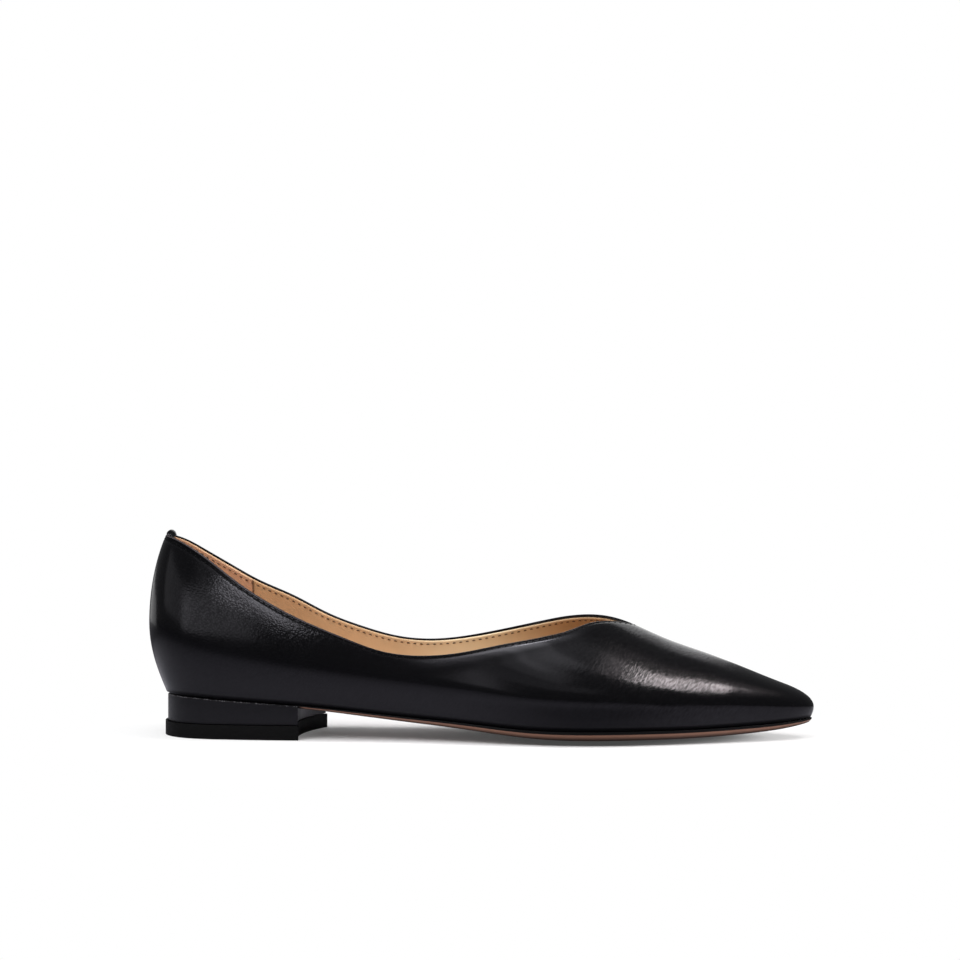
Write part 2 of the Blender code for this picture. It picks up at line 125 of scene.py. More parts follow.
# One row for each section, from the back of the heel to the tip of the toe.
# along, crest: places of its feather point and of its top, as shares of LENGTH
# lateral, medial: feather points from the centre line, as shares of BALL_WIDTH
# seat, arch, crown: height of the feather line, extra height of it on the medial side
#   and sag of the bottom between the two, as shares of HEEL_HEIGHT
# swell, swell_up: how far the wall swells out, share of BALL_WIDTH, and how high, share of INSTEP_HEIGHT
# side_pull, crest_pull: fullness of the wall over the swell, at the side and at the crest
# sole: thickness of the outsole, as a share of SOLE_THICKNESS
Section = namedtuple(
    "Section",
    "along crest lateral medial seat arch crown swell swell_up side_pull crest_pull sole",
)
SECTIONS = [
    Section(0.0264, 0.094, 0.000, 0.000, 1.000, 0.00, 0.04, 0.087, 0.620, 0.55, 0.55, 0.28),
    Section(0.0385, 0.099, 0.150, 0.150, 0.997, 0.00, 0.05, 0.086, 0.600, 0.47, 0.52, 0.28),
    Section(0.0680, 0.116, 0.250, 0.250, 0.980, 0.00, 0.07, 0.082, 0.540, 0.34, 0.44, 0.28),
    Section(0.1360, 0.146, 0.306, 0.304, 0.915, 0.00, 0.09, 0.072, 0.440, 0.34, 0.44, 0.28),
    Section(0.2490, 0.249, 0.316, 0.286, 0.800, 0.05, 0.09, 0.058, 0.350, 0.38, 0.47, 0.34),
    Section(0.3770, 0.377, 0.320, 0.262, 0.610, 0.13, 0.08, 0.046, 0.310, 0.36, 0.46, 0.54),
    Section(0.4900, 0.490, 0.372, 0.312, 0.470, 0.10, 0.10, 0.044, 0.290, 0.33, 0.42, 0.76),
    Section(0.5850, 0.585, 0.446, 0.402, 0.362, 0.03, 0.15, 0.043, 0.275, 0.30, 0.40, 0.94),
    Section(0.6640, 0.664, 0.463, 0.450, 0.343, 0.00, 0.17, 0.042, 0.265, 0.30, 0.38, 1.00),
    Section(0.7400, 0.740, 0.422, 0.446, 0.348, 0.00, 0.16, 0.040, 0.245, 0.32, 0.40, 1.00),
    Section(0.8150, 0.815, 0.335, 0.377, 0.352, 0.00, 0.13, 0.036, 0.215, 0.36, 0.43, 0.97),
    Section(0.8830, 0.878, 0.238, 0.288, 0.380, 0.00, 0.09, 0.030, 0.180, 0.42, 0.47, 0.92),
    Section(0.9380, 0.922, 0.147, 0.208, 0.415, 0.00, 0.05, 0.023, 0.145, 0.47, 0.50, 0.80),
    Section(0.9770, 0.944, 0.063, 0.131, 0.455, 0.00, 0.02, 0.017, 0.110, 0.46, 0.50, 0.58),
    Section(0.9950, 0.950, -0.035, 0.035, 0.480, 0.00, 0.00, 0.015, 0.090, 0.44, 0.49, 0.46),
]

# The ridge over the top of the foot: place, share of LENGTH; height, share of INSTEP_HEIGHT;
# and how far it lies to the medial side, share of BALL_WIDTH
Ridge = namedtuple("Ridge", "along height shift")
RIDGE = [
    Ridge(0.080, 2.17, 0.000),
    Ridge(0.160, 2.13, 0.000),
    Ridge(0.280, 1.86, 0.000),
    Ridge(0.420, 1.52, 0.010),
    Ridge(0.540, 1.330, 0.030),
    Ridge(0.628, 1.200, 0.034),
    Ridge(0.690, 1.098, 0.028),
    Ridge(0.731, 1.000, 0.022),
    Ridge(0.786, 0.857, 0.024),
    Ridge(0.838, 0.749, 0.027),
    Ridge(0.891, 0.629, 0.030),
    Ridge(0.925, 0.548, 0.033),
    Ridge(0.952, 0.486, 0.035),
]

# Height of the collar, as shares of BACK_HEIGHT, behind the throat
Collar = namedtuple("Collar", "along lateral medial")
COLLAR = [
    Collar(0.026, 1.000, 1.000),
    Collar(0.045, 0.985, 0.970),
    Collar(0.070, 0.950, 0.918),
    Collar(0.108, 0.875, 0.838),
    Collar(0.147, 0.783, 0.762),
    Collar(0.203, 0.668, 0.680),
    Collar(0.257, 0.579, 0.590),
    Collar(0.310, 0.507, 0.525),
    Collar(0.363, 0.445, 0.477),
    Collar(0.427, 0.422, 0.461),
    Collar(0.488, 0.442, 0.485),
    Collar(0.540, 0.477, 0.520),
    Collar(0.593, 0.509, 0.560),
    Collar(0.646, 0.545, 0.595),
    Collar(0.700, 0.585, 0.610),
]

# The folded edge of the collar: its rounding, its flat top, and how far it shows inside;
# under it the lining ends in a pale cut band, the raw edge's colour with painted light on it, which fades
# out at these shares of its width
LINING_THICKNESS = 0.0006
EDGE_RADIUS = 0.5 * (WALL - LINING_THICKNESS)
EDGE_TOP = 0.0001
FOLD_INSIDE = 0.00062
PALE_BAND = 0.00080
PALE_BAND_FADE = (0.8, 1.1)

# The lining: its distance from the leather, how far it stands in from the wall, its height
# over the feather line at the foot, how far its top is worn round, as a share of its
# thickness, and where along the shoe painted light makes it paler: middle and reach, as shares of LENGTH
LINING_CLEAR = 0.00005
LINING_LIP = 0.00012
LINING_FOOT = 0.0022
LINING_WORN = 0.7
LINING_PAINTED_LIGHT = (0.490, 0.095)

# A line that follows the edge crosses the ridge this share of its distance ahead of the throat
PAST_THROAT = 0.92

# The seam along the collar: where it runs outside and inside, how much lower it runs at the
# back and between which places it comes up from there; its stitches, how far their ends dip,
# in radii, and how thin these get; and the groove they lie in
SEAM_OUTSIDE = 0.00125
SEAM_INSIDE = 0.0020
SEAM_DROP = 0.0008
SEAM_DROP_FROM = 0.0180
SEAM_DROP_TO = 0.0460
STITCH_PITCH = 0.0027
STITCH_LENGTH = 0.0019
THREAD_RADIUS = 0.00036
LINING_STITCH_LENGTH = 0.0013
LINING_THREAD_RADIUS = 0.00024
STITCH_DIP = 1.3
STITCH_TIP = 0.02
SEAM_GROOVE = 0.00010
LINING_GROOVE = 0.7 * SEAM_GROOVE
SEAM_GROOVE_WIDTH = 0.00045

# Looks beside the seam, by distance from the edge: a painted highlight on the top of the fold,
# the dark pressed band that holds the stitches, and a polished line under it that is wider ahead
# of the waist; and where along the shoe, as shares of LENGTH, the lines start and end
FOLD_HIGHLIGHT_FROM = (0.00022, 0.00040)
FOLD_HIGHLIGHT_TO = (0.00046, 0.00064)
FOLD_HIGHLIGHT_END = (0.28, 0.37)
PRESSED_FROM = (0.00065, 0.00085)
PRESSED_TO = (0.00150, 0.00172)
PRESSED_EASED = 0.9
PRESSED_END = (0.12, 0.20)
NARROW_POLISH = 0.25
POLISH_FROM = (0.00150, 0.00180)
POLISH_TO = (0.00205, 0.00270)
POLISH_END = (0.10, 0.22)
WIDE_POLISH_TO = (0.00220, 0.00600)
WIDE_POLISH_FROM = (0.39, 0.475)
WIDE_POLISH_END = (0.62, 0.70)

# The upper is dull and dark where it meets the sole, up to these heights
TUCKED_TO = (0.0006, 0.0019)

# The leather swells under the seam: how far, over what distances from the edge it rises and
# falls off, and where along the shoe it is at its fullest, as shares of LENGTH
PUFF_HEIGHT = 0.00020
PUFF_RISE = (0.0013, 0.0030)
PUFF_FALL = (0.0026, 0.0085)
PUFF_LEAST = 0.15
PUFF_FROM = (0.380, 0.470)
PUFF_TO = (0.600, 0.690)

# The heel grip inside the back of the lining
GRIP_AT = 0.0402
GRIP_THICKNESS = 0.0004
GRIP_LEAN = 0.0025
GRIP_EDGE = 0.0008

# The two rows of stitches. inset, drop: distance from the edge and how much more of it at the
# back; offset: middle of the threads from the wall's face, outwards; over_grip: more of it on
# the heel grip; clear: how far from the back the row starts and ends
Seam = namedtuple("Seam", "inset drop offset over_grip length radius clear")
OUTER_SEAM = Seam(
    inset=SEAM_OUTSIDE,
    drop=SEAM_DROP,
    offset=-0.50 * THREAD_RADIUS - 0.8 * SEAM_GROOVE,
    over_grip=0.0,
    length=STITCH_LENGTH,
    radius=THREAD_RADIUS,
    clear=0.0035,
)
INNER_SEAM = Seam(
    inset=SEAM_INSIDE,
    drop=0.0,
    offset=-(WALL + LINING_LIP) - 0.25 * LINING_THREAD_RADIUS + 0.5 * SEAM_GROOVE,
    over_grip=-(GRIP_THICKNESS + LINING_CLEAR),
    length=LINING_STITCH_LENGTH,
    radius=LINING_THREAD_RADIUS,
    clear=0.0052,
)

# The sock on the insole
SOCK_INSET = 0.0010
SOCK_FOOT_INSET = 0.0023
SOCK_ROUNDING = 0.0007
SOCK_EDGE = 3.0 * SOCK_ROUNDING

# Soft troughs and ridges of the outer skin.
# along, height: the middle, as shares of LENGTH and BACK_HEIGHT; turn: its direction from
# the floor, in degrees; run, width: how far it fades out along and across; rise: outwards
Crease = namedtuple("Crease", "along height turn run width rise")
CREASES = {
    LATERAL: [
        Crease(0.150, 0.690, -36.0, 0.012, 0.0016, -0.00003),
        Crease(0.785, 0.235, -8.0, 0.013, 0.0030, -0.00018),
        Crease(0.700, 0.330, -18.0, 0.016, 0.0040, 0.00016),
        Crease(0.770, 0.300, -24.0, 0.018, 0.0036, 0.00014),
        Crease(0.872, 0.245, 80.0, 0.006, 0.0038, 0.00016),
        Crease(0.886, 0.240, 80.0, 0.010, 0.0130, 0.00022),
        Crease(0.688, 0.105, 0.0, 0.028, 0.0055, 0.00030),
    ],
    MEDIAL: [
        Crease(0.150, 0.680, -36.0, 0.012, 0.0016, -0.00003),
        Crease(0.720, 0.290, -14.0, 0.018, 0.0040, 0.00016),
    ],
}

# Where the leather is drawn up into pebbles, and where its hatched grain shows: place and
# height of the middle, and its reach along and up
Patch = namedtuple("Patch", "along height reach reach_up")
PEBBLED = [
    Patch(0.130, 0.700, 0.022, 0.022),
    Patch(0.240, 0.520, 0.024, 0.014),
]
HATCHED = [
    Patch(0.735, 0.320, 0.020, 0.010),
    Patch(0.815, 0.275, 0.024, 0.009),
    Patch(0.745, 0.490, 0.018, 0.006),
    Patch(0.810, 0.420, 0.018, 0.006),
]

# The faint seam down the back of the upper
BACK_SEAM_DEPTH = 0.00018
BACK_SEAM_WIDTH = 0.0005

# The tint of the gloss on black leather
BLUISH = (0.93, 0.91, 1.0, 1.0)

# How finely the pieces are cut
OPEN_STATIONS = 250
CROWDING = 0.6
TOE_STATIONS = 100
LOWER_ROWS = 18
LOWER_CROWDING = 1.3
SIDE_ROWS = 26
EDGE_DROPS = np.array([
    8.0, 7.0, 6.1, 5.3, 4.6, 4.0, 3.5, 3.05, 2.7, 2.4, 2.15, 1.95, 1.75, 1.5, 1.25,
    1.0, 0.8, 0.62, 0.46, 0.32, 0.2, 0.1, 0.03,
]) * MM
INNER_STEP = 5
INNER_EDGE_STEP = 3
INNER_EDGE_ROWS = 7
LINING_ROWS = 24
LINING_DROPS = np.array([6.0, 4.5, 3.4, 2.6, 2.0, 1.5, 1.1, 0.8, 0.55, 0.35, 0.2, 0.1, 0.03]) * MM
SOLE_STATIONS = 150
SOLE_ACROSS = 24
SOCK_CROWDING = 1.5
HEEL_STATIONS = 60
HEEL_ACROSS = 30
TAB_ACROSS = 18
TAB_ROWS = 8
TAB_TURN = 14
STITCH_SIDES = 8
STITCH_RINGS = 7
SAMPLES = 400
TOP_REACH = 0.6
EDGE_SAMPLES = 4000
FINE = np.linspace(0.0, 1.0, SAMPLES)

# The studio's soft lights. place, aim: middle of the light and the point it faces; roll: its
# turn about that line, in degrees; radiance: how bright its face is; kind: whether it only
# lights, only shows in glossy surfaces, or both
WHITE = (1.0, 1.0, 1.0)
WARM = (1.0, 0.92, 0.88)
LIGHT = "light"
CARD = "card"
BOTH = "both"
Panel = namedtuple("Panel", "name place aim size radiance kind roll colour", defaults=(0, WHITE))
PANELS = [
    Panel("key", (0.569, -0.072, 0.894), (0.080, -0.025, 0.023), (0.43, 0.205), 16.0, BOTH, 6, WARM),
    Panel("key_glow", (0.362, -0.083, 1.034), (0.060, -0.030, 0.030), (0.42, 0.17), 1.9, BOTH, 0, WARM),
    Panel("key_halo", (0.640, -0.010, 0.960), (0.080, -0.025, 0.023), (0.85, 0.46), 0.3, CARD, 15, WARM),
    Panel("heel_card", (-0.248, -0.250, 0.151), (-0.248, 0.0, 0.151), (0.265, 0.146), 1.2, BOTH),
    Panel("heel_side", (-0.540, -0.228, 0.226), (-0.118, -0.022, 0.055), (0.45, 0.185), 0.50, CARD),
    Panel("collar_card", (-0.0984, -0.120, 0.1116), (-0.0984, 0.0, 0.1116), (0.088, 0.022), 6.8, CARD, -40),
    Panel("front_card", (-0.169, -0.736, 0.722), (0.020, -0.030, 0.040), (0.90, 0.25), 0.3, CARD),
    Panel("high_card", (-0.150, -0.500, 0.906), (0.020, -0.030, 0.040), (0.40, 0.28), 0.65, BOTH),
    Panel("top_card", (-0.157, -0.242, 1.204), (0.030, -0.020, 0.040), (0.55, 0.50), 1.2, BOTH),
    Panel("top_strip", (-0.020, 0.080, 1.050), (0.0, -0.030, 0.035), (0.20, 0.14), 5.0, BOTH),
    Panel("backdrop", (0.000, 0.914, 0.460), (0.000, 0.0, 0.030), (0.58, 0.88), 1.05, BOTH, 16),
    Panel("rim_card", (-0.722, 0.518, 0.045), (-0.128, 0.0, 0.045), (0.46, 0.13), 0.7, CARD),
    Panel("fill", (0.0, -0.363, 1.455), (0.0, 0.0, 0.0), (2.0, 2.0), 2.05, LIGHT),
    Panel("front_fill", (-0.456, -0.857, 0.735), (0.0, 0.0, 0.030), (0.9, 0.5), 4.6, LIGHT),
    Panel("toe_fill", (0.620, -0.060, 0.060), (0.100, 0.0, 0.0), (0.30, 0.10), 9.0, LIGHT),
]

# The light of the room itself, all round and from the ceiling
ROOM_GLOW = 0.12
CEILING_GLOW = 0.40
CEILING_FROM = (0.93, 0.995)
ROOM_COLOUR = (0.96, 0.97, 1.0, 1.0)

# The floor: where it fades into the white round it, where painted shade darkens it in reflections,
# by distances that count for less along the shoe, its lift for the camera, and the painted shade's darkest
# tone
FLOOR_REACH = 6.0
FLOOR_HEIGHT = -0.00005
FLOOR_OVAL = 0.55
FLOOR_FADE = (0.062, 0.165)
FLOOR_DIM = (0.06, 0.26)
FLOOR_LIFT = 0.06
FLOOR_SHADE_TONE = (0.06, 0.06, 0.07)

# The shade beside the ball of the shoe in reflections: its middle, seen from there, its
# strength and where it fades out
BALL_SHADE_AT = (-0.050 * FLOOR_OVAL, 0.062, 0.0)
BALL_SHADE = 0.62
BALL_SHADE_FADE = (0.012, 0.042)

# The painted shadow on the floor close under the sole: its reach, how open the floor is where it
# goes, and its tone
CONTACT_REACH = 0.006
CONTACT_FROM = (0.02, 0.26)
CONTACT_SHADOW_TONE = (0.12, 0.12, 0.12)
CONTACT_SAMPLES = 16

# Camera: distance to the shoe's middle, height, turn towards the toe and lens
CAMERA_DISTANCE = 0.900
CAMERA_HEIGHT = 0.102
CAMERA_TURN = math.radians(5.0)
CAMERA_AIM_X = 0.00065
CAMERA_LENS = 84.375
CAMERA_SENSOR = 36.0


def spline(knots, values, closed=False):
    """A smooth cubic curve through values at knots; a closed one joins its end to its start."""
    knots = np.asarray(knots, float)
    values = np.asarray(values, float)
    step = np.diff(knots)
    slope = np.diff(values) / step
    count = len(step) if closed else len(knots)
    matrix = np.eye(count)
    target = np.zeros(count)
    for i in range(count):
        if not closed and i in (0, count - 1):
            continue
        before = step[i - 1]
        after = step[i]
        matrix[i, i] = 2.0 * (before + after)
        matrix[i, i - 1] += before
        matrix[i, (i + 1) % count] += after
        target[i] = 6.0 * (slope[i] - slope[i - 1])
    bend = np.linalg.solve(matrix, target)
    if closed:
        bend = np.append(bend, bend[0])

    def at(place):
        place = np.clip(np.asarray(place, float), knots[0], knots[-1])
        i = np.clip(np.searchsorted(knots, place, side="right") - 1, 0, len(step) - 1)
        h = step[i]
        to = (knots[i + 1] - place) / h
        past = 1.0 - to
        curve = (to ** 3 - to) * bend[i] + (past ** 3 - past) * bend[i + 1]
        return to * values[i] + past * values[i + 1] + curve * h * h / 6.0

    return at


def ease(value, start, end):
    share = np.clip((value - start) / (end - start), 0.0, 1.0)
    return share * share * (3.0 - 2.0 * share)


def hump(value, middle, width):
    return np.exp(-((value - middle) / width) ** 2)


def band(rising, falling, start, end):
    """1 between start and end, over which one value rises and another falls off."""
    return ease(rising, *start) * (1.0 - ease(falling, *end))


def unit(vectors):
    return vectors / np.linalg.norm(vectors, axis=-1, keepdims=True)


def column(name, scale):
    return np.array([getattr(row, name) for row in SECTIONS]) * scale


PLACE = column("along", LENGTH)
MEAN_WIDTH = (column("lateral", BALL_WIDTH) + column("medial", BALL_WIDTH)) / 2.0
CHORDS = np.hypot(np.diff(PLACE), np.diff(MEAN_WIDTH))
KNOTS = np.concatenate([[0.0], np.cumsum(CHORDS)])
HALF = KNOTS[-1]
LOOP_KNOTS = np.concatenate([KNOTS, 2.0 * HALF - KNOTS[-2::-1]])


def loop_spline(lateral, medial=None):
    medial = lateral if medial is None else medial
    return spline(LOOP_KNOTS, np.concatenate([lateral, medial[-2::-1]]), closed=True)


SEAT = column("seat", HEEL_HEIGHT)
feather_x = loop_spline(PLACE)
feather_y = loop_spline(-column("lateral", BALL_WIDTH), column("medial", BALL_WIDTH))
feather_z = loop_spline(SEAT, SEAT + column("arch", HEEL_HEIGHT))
crest_x = loop_spline(column("crest", LENGTH))
crown = loop_spline(column("crown", HEEL_HEIGHT))
swell_out = loop_spline(column("swell", BALL_WIDTH))
swell_up = loop_spline(column("swell_up", INSTEP_HEIGHT))
side_pull = loop_spline(column("side_pull", 1.0))
crest_pull = loop_spline(column("crest_pull", 1.0))
sole_thickness = loop_spline(column("sole", SOLE_THICKNESS))

RIDGE_AT = [row.along * LENGTH for row in RIDGE]
ridge_z = spline(RIDGE_AT, [row.height * INSTEP_HEIGHT for row in RIDGE])
ridge_y = spline(RIDGE_AT, [row.shift * BALL_WIDTH for row in RIDGE])

COLLAR_AT = [row.along * LENGTH for row in COLLAR]
collar_z = {
    LATERAL: spline(COLLAR_AT, [row.lateral * BACK_HEIGHT for row in COLLAR]),
    MEDIAL: spline(COLLAR_AT, [row.medial * BACK_HEIGHT for row in COLLAR]),
}


def round_shoe(share, side):
    """Place on the loop of a share of the way from the heel to the toe on one side."""
    share = np.asarray(share, float)
    return share * HALF if side == LATERAL else 2.0 * HALF - share * HALF


def bezier(points, share):
    """Points of a cubic curve for each row of four control points, at shares along it."""
    share = share[..., None]
    left = 1.0 - share
    a, b, c, d = (point[:, None, :] for point in points)
    return left ** 3 * a + 3 * left ** 2 * share * b + 3 * left * share ** 2 * c + share ** 3 * d


def section_controls(share, side):
    """Control points of the lower and the upper curve of the sections at shares along one side."""
    place = round_shoe(share, side)
    foot = np.stack([feather_x(place), feather_y(place), feather_z(place)], axis=-1)
    top_x = crest_x(place)
    top = np.stack([top_x, ridge_y(top_x), ridge_z(top_x)], axis=-1)
    plan = (foot - top) * (1.0, 1.0, 0.0)
    reach = np.linalg.norm(plan, axis=1)[:, None]
    out = plan / reach
    spread = swell_out(place)[:, None]
    rise = swell_up(place)[:, None]
    widest = foot + out * spread + UP * rise
    lower = (
        foot,
        foot + out * spread * LOWER_FOOT[0] + UP * rise * LOWER_FOOT[1],
        foot + out * spread + UP * rise * LOWER_SHOULDER,
        widest,
    )
    climb = (top[:, 2] - widest[:, 2])[:, None]
    step = LENGTH / SAMPLES
    ridge_slope = (ridge_z(top_x + step) - ridge_z(top_x - step)) / (2.0 * step)
    fall = (ridge_slope * np.clip(out[:, 0], 0.0, 1.0))[:, None]
    run = (reach + spread) * crest_pull(place)[:, None]
    upper = (
        widest,
        widest + UP * climb * side_pull(place)[:, None],
        top + out * run + UP * run * fall,
        top,
    )
    return lower, upper, out, reach


def wall(share, side, height):
    """Points of the last: heights 0 to 1 run from the feather line to the widest, 1 to 2 to the ridge."""
    lower, upper, _, _ = section_controls(share, side)
    low = bezier(lower, np.clip(height, 0.0, 1.0))
    high = bezier(upper, np.clip(height - 1.0, 0.0, 1.0))
    return np.where((height <= 1.0)[..., None], low, high)


def wall_normal(share, side, height):
    """Outward directions of the last at the same points."""
    step = 1.0 / SAMPLES
    along = wall(share + step, side, height) - wall(share - step, side, height)
    upward = wall(share, side, height + step) - wall(share, side, height - step)
    return unit(-side * np.cross(along, upward))


def collar_share(share, side):
    """How far up its upper curve each section is covered, 1 where the vamp closes over the ridge."""
    _, upper, _, _ = section_controls(share, side)
    curves = bezier(upper, np.broadcast_to(FINE, (len(share), SAMPLES)))
    covered = np.ones(len(share))
    for i, curve in enumerate(curves):
        top = curve[-1]
        if top[0] >= THROAT_AT:
            continue
        by_height = np.interp(0.0, curve[:, 2] - collar_z[side](curve[:, 0]), FINE)
        from_ridge = np.hypot(curve[:, 0] - top[0], curve[:, 1] - top[1])
        back = THROAT_AT - top[0]
        spread = THROAT_SPREAD[side] * np.sqrt(back * (back + 2.0 * THROAT_ROUNDING))
        by_throat = np.interp(-spread, -from_ridge, FINE)
        blend = ease(top[0], THROAT_BLEND_FROM, THROAT_BLEND_TO)
        covered[i] = by_height + (by_throat - by_height) * blend
    return covered


def share_at(line, x):
    """Share along the side of the section that has its point of a line, such as crest_x, at x."""
    return float(np.interp(x, line(round_shoe(FINE, LATERAL)), FINE))


def throat_share(inset):
    """Share of the section where a line at a distance from the collar's edge crosses the ridge."""
    return share_at(crest_x, THROAT_AT + inset * PAST_THROAT)


def seat_height(x, y):
    """Height of the bottom of the last over a point of the plan."""
    lateral = round_shoe(FINE, LATERAL)
    medial = round_shoe(FINE, MEDIAL)

    def at(line, place):
        return np.interp(x, feather_x(lateral), line(place))

    left = at(feather_y, lateral)
    right = at(feather_y, medial)
    across = np.clip((y - left) / np.maximum(right - left, GAP), 0.0, 1.0)
    low = at(feather_z, lateral)
    high = at(feather_z, medial)
    sag = at(crown, lateral) * (1.0 - (2.0 * across - 1.0) ** 2)
    return low + (high - low) * across - sag


def sole_depth(x):
    lateral = round_shoe(FINE, LATERAL)
    return np.interp(x, feather_x(lateral), sole_thickness(lateral))


def outline(share, side, outset):
    """The feather line in plan, moved outwards."""
    place = round_shoe(share, side)
    step = HALF / SAMPLES

    def at(where):
        return np.stack([feather_x(where), feather_y(where)], axis=-1)

    along = unit(at((place + step) % (2.0 * HALF)) - at((place - step) % (2.0 * HALF)))
    outward = np.stack([along[:, 1], -along[:, 0]], axis=-1)
    return at(place) + outward * np.reshape(outset, (-1, 1))


def stations(count):
    """Shares of a run, closer together at its two ends."""
    even = np.linspace(0.0, 1.0, count + 1)
    return even - CROWDING * np.sin(2.0 * np.pi * even) / (2.0 * np.pi)


def edge_tree():
    """Points along the whole edge of the collar, from the back by the throat to the back again."""
    shares = np.linspace(0.0, throat_share(0.0), EDGE_SAMPLES)
    halves = []
    for side in SIDES:
        height = 1.0 + collar_share(shares, side)
        halves.append(wall(shares, side, height[:, None])[:, 0])
    points = np.concatenate([halves[0], halves[1][::-1]])
    tree = KDTree(len(points))
    for i, point in enumerate(points):
        tree.insert(point, i)
    tree.balance()
    return tree


EDGE_TREE = edge_tree()


def edge_gap(points):
    """Distance of each point from the edge of the collar."""
    flat = points.reshape(-1, 3)
    return np.array([EDGE_TREE.find(point)[2] for point in flat]).reshape(points.shape[:-1])


def covered_to(shares, side, inset, drop=0.0):
    """Heights on the wall at a distance below the collar's edge, and drop more at the back."""
    heights = 1.0 + collar_share(shares, side)
    for i, (share, top) in enumerate(zip(shares, heights.copy())):
        down = np.linspace(top, max(1.0, top - TOP_REACH), SAMPLES // 2)
        line = wall(np.array([share]), side, down[None, :])[0]
        gaps = edge_gap(line)
        below = inset + drop * at_back(line[0, 0])
        heights[i] = top if gaps[0] >= below else np.interp(below, gaps, down)
    return heights


def at_back(x):
    """1 at the back of the shoe, falling to 0 where the seam has come up to its usual place."""
    return 1.0 - ease(x, SEAM_DROP_FROM, SEAM_DROP_TO)


def run_length(points):
    """Length of a line of points up to each of them."""
    return np.concatenate([[0.0], np.cumsum(np.linalg.norm(np.diff(points, axis=0), axis=1))])


def drops_below(shares, side, tops, drops):
    """Heights on the wall at given lengths down each section from its top."""
    heights = np.empty((len(shares), len(drops)))
    for i, (share, top) in enumerate(zip(shares, tops)):
        fine = np.linspace(1.0, top, SAMPLES // 2)
        length = run_length(wall(np.array([share]), side, fine[None, :])[0])
        heights[i] = np.interp(length[-1] - drops, length, fine)
    return heights


def span(left, right, shares):
    """Points between two lines in plan, at shares of the way across."""
    return left[:, None] + (right - left)[:, None] * shares[None, :, None]


def lifted(plan, height):
    """Points of the plan with their heights."""
    return np.concatenate([plan, height[..., None]], axis=-1)


def strip(first, second):
    """Faces between two rows of vertex numbers."""
    return np.stack([first[:-1], first[1:], second[1:], second[:-1]], axis=-1).reshape(-1, 4)


def grid_faces(index):
    """Faces between the columns of a grid of vertex numbers."""
    return np.concatenate([strip(index[:, i], index[:, i + 1]) for i in range(index.shape[1] - 1)])


def layer_faces(index):
    """Faces of a layer of sections that goes right round the shoe."""
    return grid_faces(np.concatenate([index, index[:1]]))


def cap_faces(ring):
    """Faces that close a ring of vertex numbers."""
    half = len(ring) // 2
    return strip(ring[:half], ring[:half - 1:-1])


def loft(rings):
    """Points and faces through closed rings."""
    index = np.arange(rings.shape[0] * rings.shape[1]).reshape(rings.shape[:2])
    closed = np.concatenate([index, index[:, :1]], axis=1)
    return rings.reshape(-1, 3), grid_faces(closed.T)


def shell(outer, inner):
    """Points and faces of a closed skin between two layers of sections, rows from the bottom up.

    The first OPEN_STATIONS stations of each side end at the collar, where the two layers are
    joined; from the next one on, the sections of both sides meet on the ridge.
    """
    columns = len(outer)
    layers = []
    start = 0
    for layer in (outer, inner):
        index = start + np.arange(columns * layer.shape[1]).reshape(columns, -1)
        start += index.size
        for i in range(OPEN_STATIONS, columns // 2):
            index[columns - i, -1] = index[i, -1]
        layers.append(index)
    skin, back = layers
    open_loop = np.arange(-OPEN_STATIONS, OPEN_STATIONS + 1) % columns
    bottom_loop = np.append(np.arange(columns), 0)
    faces = np.concatenate([
        layer_faces(skin),
        layer_faces(back)[:, ::-1],
        strip(skin[open_loop, -1], back[open_loop, -1]),
        strip(back[bottom_loop, 0], skin[bottom_loop, 0]),
    ])
    return np.concatenate([outer.reshape(-1, 3), inner.reshape(-1, 3)]), faces


def make_piece(name, points, faces, material, slot, replaced=(), attributes=None):
    """A smooth mesh in the frame that rides on the shoe; points that no face uses are dropped."""
    faces = np.asarray(faces)
    used, renumbered = np.unique(faces, return_inverse=True)
    mesh = bpy.data.meshes.new(name)
    vertices = np.asarray(points)[used] - ORIGIN
    mesh.from_pydata(vertices.tolist(), [], renumbered.reshape(faces.shape).tolist())
    for label, values in (attributes or {}).items():
        layer = mesh.attributes.new(label, "FLOAT", "POINT")
        layer.data.foreach_set("value", np.asarray(values, np.float32)[used])
    mesh.materials.append(material)
    mesh.shade_smooth()
    piece = bpy.data.objects.new(name, mesh)
    bpy.context.scene.collection.objects.link(piece)
    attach(piece, "root")
    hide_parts(*replaced)
    return piece


def rolled(gap, radius):
    """How far a rounded edge falls back, as a share of its radius, by distance from the edge."""
    turned = np.clip(1.0 - gap / radius, 0.0, 1.0)
    return 1.0 - np.sqrt(1.0 - turned ** 2)


def edge_roll(gap):
    """How far the folded edge of the collar falls back from the wall's face."""
    return (EDGE_RADIUS - EDGE_TOP) * rolled(gap, EDGE_RADIUS)


def relief(points, gap, side):
    """How far the outer skin stands out from the last."""
    seam_at = SEAM_OUTSIDE + SEAM_DROP * at_back(points[..., 0])
    rise = -SEAM_GROOVE * hump(gap, seam_at, SEAM_GROOVE_WIDTH)
    fullness = band(points[..., 0] / LENGTH, points[..., 0] / LENGTH, PUFF_FROM, PUFF_TO)
    puff = PUFF_HEIGHT * (PUFF_LEAST + (1.0 - PUFF_LEAST) * fullness)
    rise += puff * band(gap, gap, PUFF_RISE, PUFF_FALL)
    for crease in CREASES[side]:
        away = points[..., 0] - crease.along * LENGTH
        above = points[..., 2] - crease.height * BACK_HEIGHT
        turn = math.radians(crease.turn)
        along = away * math.cos(turn) + above * math.sin(turn)
        across = above * math.cos(turn) - away * math.sin(turn)
        rise += crease.rise * hump(along, 0.0, crease.run) * hump(across, 0.0, crease.width)
    behind = points[..., 0] < PLACE[2]
    rise -= behind * BACK_SEAM_DEPTH * hump(points[..., 1], 0.0, BACK_SEAM_WIDTH)
    return rise


